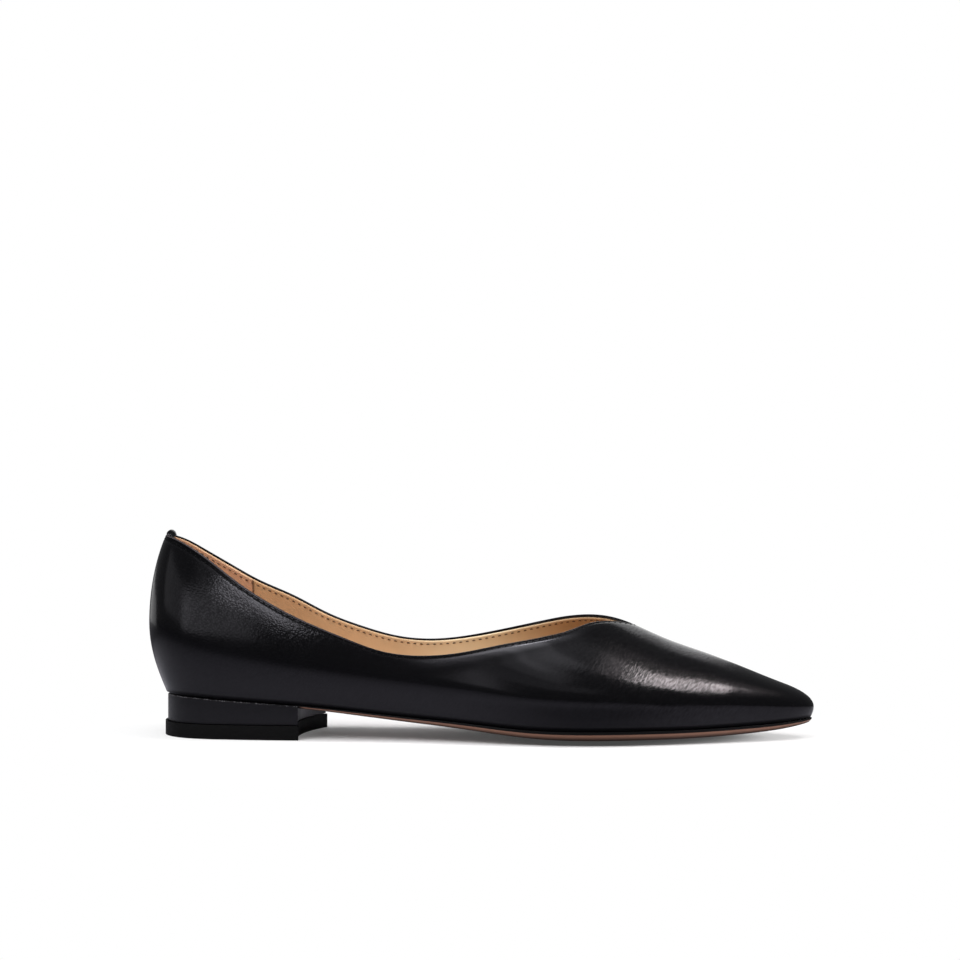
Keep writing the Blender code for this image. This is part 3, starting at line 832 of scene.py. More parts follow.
def skin_heights(shares, side):
    """Rows of the outer skin from the feather line to the edge, close together near the edge."""
    tops = 1.0 + collar_share(shares, side)
    edge = drops_below(shares, side, tops, EDGE_DROPS)
    low = np.linspace(0.0, 1.0, LOWER_ROWS + 1) ** LOWER_CROWDING
    between = np.linspace(0.0, 1.0, SIDE_ROWS + 1)[None, 1:-1]
    side_rows = 1.0 + (edge[:, :1] - 1.0) * between
    return np.concatenate([np.broadcast_to(low, (len(shares), len(low))), side_rows, edge], axis=1)


def margin_points(shares, side, lift):
    """The inner edge of the lasting margin under the shoe."""
    lower, _, out, reach = section_controls(shares, side)
    turned = lower[0] - out * np.minimum(MARGIN_WIDTH, reach * MARGIN_MOST)
    turned[:, 2] = seat_height(turned[:, 0], turned[:, 1]) + lift
    return turned[:, None, :]


def skin_layers(shares, side):
    """Outer points of the leather, and fewer inner ones."""
    heights = skin_heights(shares, side)
    points = wall(shares, side, heights)
    normals = wall_normal(shares, side, heights)
    gap = edge_gap(points)
    outside = points + normals * (relief(points, gap, side) - edge_roll(gap))[..., None]
    rows = np.arange(heights.shape[1])
    edge = len(EDGE_DROPS)
    kept = np.unique(np.concatenate([
        rows[INNER_STEP:-edge:INNER_STEP], rows[-edge::INNER_EDGE_STEP], rows[-INNER_EDGE_ROWS:]
    ]))
    thickness = WALL - LINING_THICKNESS
    inside = (points - normals * (thickness - edge_roll(gap))[..., None])[:, kept]
    outside = np.concatenate([margin_points(shares, side, 0.0), outside], axis=1)
    inside = np.concatenate([margin_points(shares, side, thickness), inside], axis=1)
    return outside, inside


def average_ridge(layers):
    """Puts the tops of both sides ahead of the throat on the point between them."""
    columns = len(layers)
    for i in range(OPEN_STATIONS, columns // 2):
        middle = (layers[i, -1] + layers[columns - i, -1]) / 2.0
        layers[i, -1] = middle
        layers[columns - i, -1] = middle


def two_layers(make, last_open, toe_stations):
    """Outer and inner layers right round the shoe, crowded behind the throat and even ahead of it."""
    ahead = np.linspace(last_open, 1.0, toe_stations + 1)[1:]
    shares = np.concatenate([last_open * stations(OPEN_STATIONS), ahead])
    lateral, medial = (make(shares, side) for side in SIDES)
    layers = [np.concatenate([left, right[-2:0:-1]]) for left, right in zip(lateral, medial)]
    for layer in layers:
        average_ridge(layer)
    return layers


def patch_strength(points, patches):
    strength = np.zeros(len(points))
    for patch in patches:
        ahead = (points[:, 0] - patch.along * LENGTH) / patch.reach
        above = (points[:, 2] - patch.height * BACK_HEIGHT) / patch.reach_up
        strength = np.maximum(strength, hump(np.hypot(ahead, above), 0.0, 1.0))
    return strength


def seam_looks(points):
    """How strong the painted highlight on the fold, the pressed band and the polished line are on the outer
    skin.
    """
    gap = edge_gap(points)
    along = points[:, 0] / LENGTH
    below = gap - SEAM_DROP * at_back(points[:, 0])
    fold = band(gap, gap, FOLD_HIGHLIGHT_FROM, FOLD_HIGHLIGHT_TO) * (1.0 - ease(along, *FOLD_HIGHLIGHT_END))
    pressed = band(gap, below, PRESSED_FROM, PRESSED_TO) * (1.0 - PRESSED_EASED * ease(along, *PRESSED_END))
    narrow = band(below, below, POLISH_FROM, POLISH_TO) * (1.0 - ease(along, *POLISH_END))
    wide = band(below, below, POLISH_FROM, WIDE_POLISH_TO)
    wide *= band(along, along, WIDE_POLISH_FROM, WIDE_POLISH_END)
    return {"fold_highlight": fold, "pressed": pressed, "polish": NARROW_POLISH * narrow + wide}


def build_upper(material):
    outer, inner = two_layers(skin_layers, throat_share(0.0), TOE_STATIONS)
    points, faces = shell(outer, inner)
    attributes = {
        "pebbled": patch_strength(points, PEBBLED),
        "hatched": patch_strength(points, HATCHED),
        "tucked": 1.0 - ease(points[:, 2] - seat_height(points[:, 0], points[:, 1]), *TUCKED_TO),
    }
    for label, strength in seam_looks(outer.reshape(-1, 3)).items():
        attributes[label] = np.concatenate([strength, np.zeros(len(points) - len(strength))])
    make_piece("upper_skin", points, faces, material, "upper_leather", ["upper"], attributes)


def lining_heights(shares, side, tops):
    """Rows of the lining from just over the feather line to its top."""
    lower, _, _, _ = section_controls(shares, side)
    fine = np.linspace(0.0, 1.0, SAMPLES // 4)
    rising = bezier(lower, np.broadcast_to(fine, (len(shares), len(fine))))
    feet = np.array([[np.interp(LINING_FOOT, line[:, 2] - line[0, 2], fine)] for line in rising])
    edge = drops_below(shares, side, tops, LINING_DROPS)
    between = np.linspace(0.0, 1.0, LINING_ROWS)[None, :-1]
    return np.concatenate([feet + (edge[:, :1] - feet) * between, edge], axis=1)


def lining_layers(shares, side, face_offset, back_offset):
    """Hidden and visible points of a layer inside the upper."""
    tops = covered_to(shares, side, FOLD_INSIDE)
    heights = lining_heights(shares, side, tops)
    points = wall(shares, side, heights)
    normals = wall_normal(shares, side, heights)
    gap = edge_gap(points) - FOLD_INSIDE
    thickness = face_offset - back_offset
    worn = LINING_WORN * thickness * rolled(gap, thickness)
    groove = LINING_GROOVE * hump(gap, SEAM_INSIDE - FOLD_INSIDE, SEAM_GROOVE_WIDTH)
    hidden = points - normals * back_offset
    shown = points - normals * (face_offset - worn - groove)[..., None]
    return hidden, shown


def build_lining(material):
    def layers(shares, side):
        back = WALL - LINING_THICKNESS + LINING_CLEAR
        return lining_layers(shares, side, WALL + LINING_LIP, back)

    points, faces = shell(*two_layers(layers, throat_share(FOLD_INSIDE), TOE_STATIONS // 2))
    attributes = {
        "edge_gap": edge_gap(points),
        # Painted light: where along the shoe the lining is made paler
        "painted_light_middle": hump(points[:, 0] / LENGTH, *LINING_PAINTED_LIGHT),
    }
    make_piece("upper_lining", points, faces, material, "sock_leather", ["upper"], attributes)


def build_heel_grip(material):
    """The panel over the back of the lining, from one side seam round to the other."""
    end = share_at(feather_x, GRIP_AT - GRIP_LEAN)
    shares = np.append(np.linspace(0.0, end - GRIP_EDGE / HALF, OPEN_STATIONS // 4), end)
    back = WALL + LINING_LIP + LINING_CLEAR
    lateral, medial = (lining_layers(shares, side, back + GRIP_THICKNESS, back) for side in SIDES)
    hidden, shown = (np.concatenate([left[::-1], right[1:]]) for left, right in zip(lateral, medial))
    columns, rows = hidden.shape[:2]
    back_index = np.arange(columns * rows).reshape(columns, rows)
    face_index = back_index + back_index.size
    loop = np.concatenate([
        back_index[:, 0], back_index[-1, 1:], back_index[-2::-1, -1], back_index[0, -2::-1]
    ])
    faces = np.concatenate([
        grid_faces(face_index), grid_faces(back_index)[:, ::-1], strip(loop, loop + back_index.size)
    ])
    points = np.concatenate([hidden.reshape(-1, 3), shown.reshape(-1, 3)])
    from_end = (end - np.concatenate([shares[::-1], shares[1:]])) * HALF
    cut_edge = np.tile(np.repeat(1.0 - ease(from_end, 0.0, GRIP_EDGE), rows), 2)
    attributes = {"edge_gap": edge_gap(points), "cut_edge": cut_edge}
    make_piece("heel_grip", points, faces, material, "sock_leather", ["upper"], attributes)


def seam_line(seam):
    """Points and directions along the seam, from the back by the throat to the back again."""
    shares = np.linspace(0.0, throat_share(seam.inset), EDGE_SAMPLES // 6)
    on_grip = shares < share_at(feather_x, GRIP_AT - GRIP_LEAN)
    offset = (seam.offset + seam.over_grip * on_grip)[:, None]
    halves = []
    for side in SIDES:
        heights = covered_to(shares, side, seam.inset, seam.drop)[:, None]
        normals = wall_normal(shares, side, heights)[:, 0]
        halves.append((wall(shares, side, heights)[:, 0] + normals * offset, normals))
    return [np.concatenate([left, right[-2::-1]]) for left, right in zip(*halves)]


def build_stitches(name, material, slot, seam):
    """A row of stitches as one mesh, from the back on one side to the back on the other."""
    points, normals = seam_line(seam)
    length = run_length(points)
    rings = np.linspace(-1.0, 1.0, STITCH_RINGS)
    turns = np.arange(STITCH_SIDES) * 2.0 * np.pi / STITCH_SIDES
    thickness = np.sqrt(np.clip(1.0 - np.abs(rings) ** 3, STITCH_TIP, 1.0))
    sunk = (np.abs(rings) ** 2) * seam.radius * STITCH_DIP

    def along(values, places):
        return np.stack([np.interp(places, length, values[:, axis]) for axis in range(3)], axis=-1)

    vertices, faces = [], []
    for middle in np.arange(seam.clear, length[-1] - seam.clear, STITCH_PITCH):
        places = middle + rings * seam.length / 2.0
        centre = along(points, places)
        out = unit(along(normals, places))
        ahead = unit(np.gradient(centre, axis=0))
        across = unit(np.cross(ahead, out))
        centre = centre - out * sunk[:, None]
        ring = (
            across[:, None] * np.cos(turns)[None, :, None] + out[:, None] * np.sin(turns)[None, :, None]
        ) * (seam.radius * thickness)[:, None, None]
        body_points, body = loft(centre[:, None] + ring)
        first = np.arange(STITCH_SIDES)
        last = len(body_points) - 1 - first
        start = len(vertices) * len(body_points)
        faces.append(start + np.concatenate([body[:, ::-1], cap_faces(first), cap_faces(last)]))
        vertices.append(body_points)
    make_piece(name, np.concatenate(vertices), np.concatenate(faces), material, slot)


def build_sock(material):
    """The sock leather that covers the insole, with a rounded edge close to the lining."""
    shares = stations(SOLE_STATIONS)
    over = np.linspace(-1.0, 1.0, SOLE_ACROSS + 1)
    over = np.sign(over) * (1.0 - (1.0 - np.abs(over)) ** SOCK_CROWDING)
    rows = []
    foot = (SOCK_FOOT_INSET, 0.0, 0.0)
    face = (SOCK_INSET, INSOLE_THICKNESS, SOCK_ROUNDING)
    for inset, lift, rounding in (foot, face):
        left, right = (outline(shares, side, -inset) for side in SIDES)
        plan = span(left, right, (over + 1.0) / 2.0)
        from_edge = np.linalg.norm(right - left, axis=1)[:, None] / 2.0 * (1.0 - np.abs(over))
        turned = np.clip(1.0 - from_edge / SOCK_EDGE, 0.0, 1.0)
        height = seat_height(plan[..., 0], plan[..., 1]) + WALL + GAP + lift - rounding * turned ** 2
        rows.append(lifted(plan, height))
    bottom, top = rows
    rings = np.concatenate([bottom, top[:, ::-1]], axis=1)
    weld(make_piece("sock", *loft(rings), material, "sock_leather", ["insole"]))


def weld(piece, distance=1e-6):
    build = bmesh.new()
    build.from_mesh(piece.data)
    bmesh.ops.remove_doubles(build, verts=build.verts, dist=distance)
    bmesh.ops.dissolve_degenerate(build, edges=build.edges, dist=distance)
    bmesh.ops.recalc_face_normals(build, faces=build.faces)
    build.to_mesh(piece.data)
    build.free()


def soften_edges(piece, width, segments=3, angle=math.radians(40.0)):
    bevel = piece.modifiers.new("soft_edges", "BEVEL")
    bevel.width = width
    bevel.segments = segments
    bevel.limit_method = "ANGLE"
    bevel.angle_limit = angle
    bevel.harden_normals = False


def build_outsole(material):
    """The sole: a flat top, a dyed rim, a bevelled edge and the bottom."""
    shares = stations(SOLE_STATIONS)
    over = np.linspace(0.0, 1.0, SOLE_ACROSS + 1)
    place = feather_x(round_shoe(shares, LATERAL))
    depth = sole_depth(place)[:, None]
    outset = -SOLE_TUCK + (SOLE_PROUD + SOLE_TUCK) * ease(place, TUCK_FROM, TUCK_TO)

    def layer(inset, fall):
        plan = span(*(outline(shares, side, outset - inset) for side in SIDES), over)
        return lifted(plan, np.maximum(seat_height(plan[..., 0], plan[..., 1]) - GAP - fall, 0.0))

    def edge(side):
        rim = top[:, side] - UP * RIM_SHARE * depth
        rows = [top[:, side] + (rim - top[:, side]) * share for share in RIM_ROWS]
        rows += [rim + (bottom[:, side] - rim) * share for share in BEVEL_ROWS]
        return np.stack(rows, axis=1)

    def ring(side_values, bottom_values, top_value):
        top_values = np.full(len(over), top_value)
        return np.concatenate([side_values, bottom_values, side_values[::-1], top_values])

    top = layer(0.0, 0.0)
    bottom = layer(BEVEL_INSET, depth)
    rings = np.concatenate([edge(0), bottom, edge(-1)[:, ::-1], top[:, ::-1]], axis=1)
    rim_rows = np.arange(len(RIM_ROWS + BEVEL_ROWS)) < len(RIM_ROWS)
    seat = 1.0 - ease(rings[..., 0], BREAST_AT - SEAT_DYE_FROM, BREAST_AT - SEAT_DYE_TO)
    dye = np.maximum(ring(1.0 * rim_rows, np.zeros(len(over)), 1.0), seat)
    under = np.where((over > 0.0) & (over < 1.0), BOTTOM_SHADE, 1.0)
    # Painted shade on the sole: dark low on the bevel and at the edge of the bottom
    burnish = ring(np.append(np.zeros(len(RIM_ROWS)), BEVEL_SHADE), under, 0.0)
    attributes = {"dye": dye.ravel(), "burnish": np.tile(burnish, len(rings))}
    weld(make_piece("sole", *loft(rings), material, "sole_leather", ["outsole"], attributes))


def heel_rows(outset, grow, lip=0.0):
    """Rows of plan points over the heel, from its back to its hollow breast.

    With a lip, two more points on each side lie close to the outline, one lip in from it and beyond.
    """
    shares = np.linspace(0.0, share_at(feather_x, BREAST_AT), HEEL_STATIONS + 1)
    over = np.linspace(0.0, 1.0, HEEL_ACROSS + 1)

    def edges(inset):
        return [outline(shares, side, outset - inset) for side in SIDES]

    left, right = edges(0.0)
    plan = span(left, right, over)
    if lip:
        second_left, second_right = (row[:, None] for row in edges(lip))
        inner = span(*edges(2.0 * lip), over)
        plan = np.concatenate([left[:, None], second_left, inner, second_right, right[:, None]], axis=1)
    width = np.maximum(right[:, 1] - left[:, 1], GAP)
    from_middle = 2.0 * (plan[..., 1] - left[:, None, 1]) / width[:, None] - 1.0
    blend = ease(plan[..., 0], BREAST_BLEND_FROM, BREAST_AT)
    breast = BREAST_SLANT * from_middle - BREAST_HOLLOW * (1.0 - from_middle ** 2)
    plan[..., 0] += blend * (breast + grow)
    return plan


def heel_solid(name, plan, low, high, material, slot, node, softness):
    """A slab of the heel between two heights over its plan, with how near it is to its top edge."""
    low = lifted(plan, np.broadcast_to(low, plan.shape[:2]))
    high = lifted(plan, np.broadcast_to(high, plan.shape[:2]))
    specks = [high - UP * fall for fall in COVER_SPECKS]
    right = [level[:, -1:] for level in specks[::-1]]
    left = [level[:, :1] for level in specks]
    rings = np.concatenate([low, *right, high[:, ::-1], *left], axis=1)
    points, faces = loft(rings)
    breast = np.stack([level[-1] for level in (low, *specks[::-1], high)])
    cap = len(points) + np.arange(breast.shape[0] * breast.shape[1]).reshape(breast.shape[:2])
    faces = np.concatenate([faces, grid_faces(cap.T)])
    count = plan.shape[1]
    rising = np.linspace(0.0, 1.0, len(specks) + 1)[:-1]
    falling = np.linspace(1.0, 0.0, len(specks) + 1)[1:]
    near = np.concatenate([np.zeros(count), rising, np.ones(count), falling])
    near_top = np.concatenate([np.tile(near, len(rings)), np.zeros(cap.size)])
    points = np.concatenate([points, breast.reshape(-1, 3)])
    piece = make_piece(name, points, faces, material, slot, [node], {"near_top": near_top})
    weld(piece)
    soften_edges(piece, softness)


def build_heel(cover, rubber):
    plan = heel_rows(-BLOCK_INSET, 0.0, COVER_LIP)
    roof = seat_height(plan[..., 0], plan[..., 1]) - sole_depth(plan[..., 0]) - 2.0 * GAP
    for outer, second in ((0, 1), (-1, -2)):
        lip_top = seat_height(plan[:, outer, 0], plan[:, outer, 1]) - COVER_SLIT
        roof[:, outer] = lip_top
        roof[:, second] = lip_top
    foot = TOP_LIFT_THICKNESS + GAP
    heel_solid("heel_cover", plan, foot, roof, cover, "heel_cover", "heel_block", COVER_SOFTNESS)
    plan = heel_rows(TOP_LIFT_PROUD, TOP_LIFT_PROUD)
    heel_solid(
        "heel_lift", plan, 0.0, TOP_LIFT_THICKNESS, rubber, "lift_rubber", "top_lift", EDGE_SOFTNESS
    )


def tab_line(curve, collar, fullness):
    """The two faces of the tab in one section, from the outer edge of the collar over and down inside."""
    length = run_length(curve)
    end = np.interp(collar, FINE, length)
    flat = unit((curve[0] - curve[-1]) * (1.0, 1.0, 0.0))

    def on_wall(down):
        return np.array([np.interp(end - down, length, curve[:, axis]) for axis in range(3)])

    def directions(down):
        rise = unit(on_wall(down) - on_wall(down + GAP))
        return unit(flat - rise * np.dot(flat, rise)), rise

    side, rise = directions(0.0)
    edge = on_wall(0.0) + rise * TAB_LIFT
    inner = WALL + LINING_LIP + GRIP_THICKNESS + TAB_LIFT
    reach = inner + (WALL + GAP + TAB_THICKNESS - inner) * fullness
    near, far = [], []
    for turn in np.linspace(0.0, np.pi, TAB_TURN + 1):
        inwards = (1.0 - np.cos(turn)) / 2.0
        near.append(edge - side * inwards * inner)
        over = side * (TAB_OVERHANG * np.sin(turn) * (1.0 - inwards))
        far.append(edge + over - side * inwards * reach + rise * np.sin(turn) * TAB_HEIGHT * fullness)
    for down in np.linspace(0.0, TAB_INSIDE, TAB_ROWS + 1)[1:]:
        side, _ = directions(down)
        near.append(on_wall(down) - side * inner)
        far.append(on_wall(down) - side * reach)
    return np.array(near), np.array(far)


def build_tab(material):
    half_share = TAB_HALF_WIDTH / HALF
    rings = []
    for offset in np.linspace(-half_share, half_share, TAB_ACROSS + 1):
        side = LATERAL if offset <= 0.0 else MEDIAL
        share = np.array([abs(offset)])
        _, upper, _, _ = section_controls(share, side)
        curve = bezier(upper, FINE[None, :])[0]
        fullness = 1.0 - TAB_END_FALL * (share[0] / half_share) ** 2
        near, far = tab_line(curve, collar_share(share, side)[0], fullness)
        rings.append(np.concatenate([far, near[::-1]]))
    points, faces = loft(np.array(rings))
    first = np.arange(len(rings[0]))
    last = first + len(points) - len(first)
    faces = np.concatenate([faces, cap_faces(first), cap_faces(last)])
    piece = make_piece("tab", points, faces, material, "tab_leather", ["back_tab"])
    weld(piece)
    soften_edges(piece, EDGE_SOFTNESS)


class Nodes:
    """A node tree with short ways to add nodes and feed their sockets."""

    def __init__(self, tree):
        self.tree = tree

    def put(self, socket, value):
        if isinstance(value, bpy.types.NodeSocket):
            self.tree.links.new(value, socket)
        else:
            socket.default_value = value

    def node(self, kind, settings=None, **inputs):
        node = self.tree.nodes.new(kind)
        for key, value in (settings or {}).items():
            setattr(node, key, value)
        for key, value in inputs.items():
            self.put(node.inputs[key.replace("_", " ")], value)
        return node

    def spread(self, value, low, high, start=0.0, end=1.0, way="LINEAR"):
        """A value carried from one range to another, held at its ends."""
        return self.node(
            "ShaderNodeMapRange", {"interpolation_type": way}, Value=value,
            From_Min=start, From_Max=end, To_Min=low, To_Max=high,
        ).outputs["Result"]

    def seen(self):
        """1 for what the camera sees itself, 0 for what is seen in a reflection or gives light."""
        return self.node("ShaderNodeLightPath").outputs["Is Camera Ray"]

    def mix_shaders(self, share, first, second, output):
        mixed = self.node("ShaderNodeMixShader", Fac=share)
        for socket, shader in zip(mixed.inputs[1:], (first, second)):
            self.put(socket, shader.outputs[0])
        self.put(output.inputs["Surface"], mixed.outputs[0])


class Surface(Nodes):
    """A Principled material with short ways to feed its sockets from textures."""

    def __init__(self, name, **constants):
        self.material = bpy.data.materials.new(name)
        self.material.use_nodes = True
        super().__init__(self.material.node_tree)
        self.shader = self.tree.nodes["Principled BSDF"]
        for socket, value in constants.items():
            self.feed(socket.replace("_", " "), value)
        self.place = self.node("ShaderNodeTexCoord").outputs["Object"]

    def feed(self, socket, value):
        self.put(self.shader.inputs[socket], value)

    def turned(self, scale, rotation=(0.0, 0.0, 0.0), place=(0.0, 0.0, 0.0)):
        """Coordinates that are stretched, turned and moved."""
        return self.node(
            "ShaderNodeMapping", Vector=self.place, Scale=scale, Rotation=rotation, Location=place,
        ).outputs["Vector"]

    def drawn_out(self, turn, stretch):
        """Coordinates drawn out along a line of the side view, at an angle up from the floor."""
        return self.node(
            "ShaderNodeMapping", {"vector_type": "TEXTURE"},
            Vector=self.place, Scale=(stretch, stretch, 1.0), Rotation=(0.0, -math.radians(turn), 0.0),
        ).outputs["Vector"]

    def noise(self, scale, detail=3.0, roughness=0.5, vector=None):
        return self.node(
            "ShaderNodeTexNoise",
            Vector=vector or self.place, Scale=scale, Detail=detail, Roughness=roughness,
        ).outputs["Fac"]

    def cells(self, scale, vector=None, smoothness=0.6):
        return self.node(
            "ShaderNodeTexVoronoi", {"feature": "SMOOTH_F1"},
            Vector=vector or self.place, Scale=scale, Smoothness=smoothness,
        ).outputs["Distance"]

    def math(self, operation, first, second):
        node = self.node("ShaderNodeMath", {"operation": operation})
        for socket, value in zip(node.inputs, (first, second)):
            self.put(socket, value)
        return node.outputs[0]

    def times(self, *factors):
        product = factors[0]
        for factor in factors[1:]:
            product = self.math("MULTIPLY", product, factor)
        return product

    def mix(self, kind, share, first, second):
        node = self.node("ShaderNodeMix", {"data_type": kind})
        sockets = [socket for socket in node.inputs if socket.enabled]
        for socket, value in zip(sockets, (share, first, second)):
            self.put(socket, value)
        return next(socket for socket in node.outputs if socket.enabled)

    def blend(self, share, *colours):
        """A colour carried from the first to the second by a share."""
        colours = [(*colour, 1.0) if isinstance(colour, tuple) else colour for colour in colours]
        return self.mix("RGBA", share, *colours)

    def between(self, share, first, second):
        """A number carried from first to second by a share."""
        return self.mix("FLOAT", share, first, second)

    def attribute(self, name):
        return self.node("ShaderNodeAttribute", {"attribute_name": name}).outputs["Fac"]

    def bump(self, height, distance, strength, **under):
        """Normals of a relief, which may lie on another one's Normal."""
        return self.node(
            "ShaderNodeBump", Height=height, Distance=distance, Strength=strength, **under
        ).outputs["Normal"]


def black_leather(name):
    """Smooth dyed leather: a fine slanted hatch, pebbles where it is drawn up, and a satin gloss."""
    leather = Surface(name, Specular_Tint=BLUISH)
    hatch = leather.noise(1850.0, 1.0, 0.5, leather.drawn_out(52.0, 4.0))
    pebble = leather.cells(1600.0, leather.drawn_out(-36.0, 1.3))
    marks = leather.noise(900.0, 2.0, 0.5, leather.drawn_out(-34.0, 4.0))
    uneven = leather.noise(48.0, 2.0)
    tone = leather.blend(uneven, (0.0015, 0.0015, 0.0018), (0.0024, 0.0024, 0.0028))
    # A pale grey mixed into the base colour paints a highlight along the top of the fold
    leather.feed("Base Color", leather.blend(leather.attribute("fold_highlight"), tone, (0.075, 0.063, 0.067)))
    leather.feed("Roughness", leather.spread(leather.math("ADD", uneven, hatch), 0.15, 0.19, 0.6, 1.4))

    drawn_up = leather.attribute("pebbled")
    shows = leather.attribute("hatched")
    low_gloss = leather.spread(shows, 0.26, 0.12)
    high_gloss = leather.spread(shows, 0.30, 0.44)
    pitted = leather.spread(pebble, 1.35, 0.55, 0.10, 0.60)
    gloss = leather.times(
        leather.spread(hatch, low_gloss, high_gloss, 0.32, 0.68),
        leather.between(drawn_up, 1.0, pitted),
        leather.spread(leather.attribute("pressed"), 1.0, 0.25),
        leather.spread(leather.attribute("tucked"), 1.0, 0.08),
    )
    polish = leather.times(leather.attribute("polish"), 0.9)
    leather.feed("Specular IOR Level", leather.math("ADD", gloss, polish))

    normal = leather.bump(uneven, 0.0006, 0.012)
    normal = leather.bump(leather.times(marks, drawn_up), 0.0003, 0.10, Normal=normal)
    grain = leather.between(drawn_up, hatch, pebble)
    strength = leather.math("ADD", leather.spread(drawn_up, 0.05, 0.28), leather.spread(shows, 0.0, 0.32))
    leather.feed("Normal", leather.bump(grain, 0.00020, strength, Normal=normal))
    return leather.material


def tan_leather(name, low, high, edge_tone=None, painted_light_tone=None, cut_tone=None, rough=0.58):
    """Vegetable lining leather: cloudy tan, fine pores, matt; a pale cut edge with painted light on it, and
    a paler middle of painted light, where it has them.
    """
    leather = Surface(name, Specular_IOR_Level=0.30)
    cloud = leather.noise(38.0, 4.0, 0.55)
    pores = leather.noise(1500.0, 3.0, 0.6)
    tone = leather.blend(leather.spread(cloud, 0.0, 1.0, 0.32, 0.68), low, high)
    # Painted light: a paler tone where more light falls on the middle of the lining
    if painted_light_tone:
        tone = leather.blend(leather.attribute("painted_light_middle"), tone, painted_light_tone)
    # The pale cut edge: the raw edge's own colour, lightened with painted light where it faces up
    if edge_tone:
        fades = [FOLD_INSIDE + share * PALE_BAND for share in PALE_BAND_FADE]
        at_edge = leather.spread(leather.attribute("edge_gap"), 1.0, 0.0, *fades)
        tone = leather.blend(at_edge, tone, edge_tone)
    if cut_tone:
        tone = leather.blend(leather.attribute("cut_edge"), tone, cut_tone)
    leather.feed("Base Color", tone)
    leather.feed("Roughness", leather.spread(pores, rough - 0.06, rough + 0.10))
    leather.feed("Normal", leather.bump(pores, 0.00015, 0.30))
    return leather.material


def sole_leather(name):
    """Brown sole leather with fibres along its edge, darkened low down by painted shade, and a black dyed
    rim.
    """
    leather = Surface(name)
    fibres = leather.noise(700.0, 4.0, 0.6, leather.turned((0.35, 0.35, 1.6)))
    cloud = leather.noise(30.0, 3.0)
    tone = leather.blend(fibres, (0.245, 0.118, 0.076), (0.400, 0.215, 0.142))
    worn = leather.blend(cloud, tone, (0.320, 0.163, 0.108))
    # Painted shade: the lower bevel and the bottom are darkened towards near black
    shaded = leather.blend(leather.attribute("burnish"), worn, (0.014, 0.007, 0.004))
    dye = leather.attribute("dye")
    leather.feed("Base Color", leather.blend(dye, shaded, (0.0050, 0.0048, 0.0050)))
    leather.feed("Specular IOR Level", leather.spread(dye, 0.30, 0.12))
    leather.feed("Roughness", leather.spread(fibres, 0.42, 0.62))
    leather.feed("Normal", leather.bump(fibres, 0.0002, 0.35))
    return leather.material


def heel_leather(name):
    """The heel's leather cover, smoother than the upper."""
    leather = Surface(name, Specular_IOR_Level=0.28, Specular_Tint=BLUISH)
    pebble = leather.cells(1200.0)
    uneven = leather.noise(70.0, 3.0)
    tone = leather.blend(uneven, (0.0016, 0.0016, 0.0019), (0.0026, 0.0026, 0.0030))
    speck = leather.spread(leather.noise(2200.0, 1.0), 0.0, 1.0, 0.55, 0.63)
    at_top = leather.spread(leather.attribute("near_top"), 0.0, 1.0, 0.55, 0.75)
    leather.feed("Base Color", leather.blend(leather.times(speck, at_top), tone, (0.20, 0.193, 0.20)))
    leather.feed("Roughness", leather.spread(uneven, 0.34, 0.48))
    leather.feed("Normal", leather.bump(pebble, 0.00012, 0.22, Normal=leather.bump(uneven, 0.0004, 0.08)))
    return leather.material


def lift_rubber(name):
    """Matt black rubber with a fine moulded texture."""
    rubber = Surface(name, Specular_IOR_Level=0.15)
    speck = rubber.noise(1800.0, 3.0, 0.6)
    cloud = rubber.noise(60.0, 3.0)
    rubber.feed("Base Color", rubber.blend(cloud, (0.0012, 0.0012, 0.0012), (0.0022, 0.0022, 0.0022)))
    rubber.feed("Roughness", rubber.spread(speck, 0.58, 0.76))
    rubber.feed("Normal", rubber.bump(speck, 0.0001, 0.35))
    return rubber.material


def thread(name, low, high, gloss):
    """Twisted sewing thread."""
    surface = Surface(name, Specular_IOR_Level=gloss)
    twist = surface.noise(2600.0, 2.0, 0.5, surface.turned((1.0, 1.0, 2.0), (0.0, 0.6, 0.3)))
    surface.feed("Base Color", surface.blend(twist, low, high))
    surface.feed("Roughness", surface.spread(twist, 0.34, 0.55))
    surface.feed("Normal", surface.bump(twist, 0.00008, 0.4))
    return surface.material


def build_shoe():
    build_upper(black_leather("upper_leather"))
    # Lining tones: the middle tone is painted light; the pale edge tone is the raw cut edge's colour with
    # painted light on it
    build_lining(tan_leather(
        "lining_leather", (0.47, 0.285, 0.150), (0.60, 0.395, 0.225),
        edge_tone=(0.86, 0.68, 0.52), painted_light_tone=(0.77, 0.62, 0.41),
    ))
    # The grip's pale edge tone is the raw cut edge's colour with painted light on it
    build_heel_grip(tan_leather(
        "grip_leather", (0.54, 0.310, 0.185), (0.65, 0.400, 0.255),
        edge_tone=(0.86, 0.67, 0.53), cut_tone=(0.085, 0.030, 0.014), rough=0.70,
    ))
    black = thread("black_thread", (0.0010, 0.0010, 0.0012), (0.0030, 0.0030, 0.0034), 0.10)
    build_stitches("collar_stitches", black, "upper_leather", OUTER_SEAM)
    brown = thread("brown_thread", (0.030, 0.014, 0.008), (0.085, 0.040, 0.022), 0.45)
    build_stitches("lining_stitches", brown, "sock_leather", INNER_SEAM)
    build_sock(tan_leather("sock_leather", (0.46, 0.275, 0.145), (0.58, 0.375, 0.210)))
    build_outsole(sole_leather("sole_leather"))
    build_heel(heel_leather("heel_cover"), lift_rubber("lift_rubber"))
    build_tab(black_leather("tab_leather"))


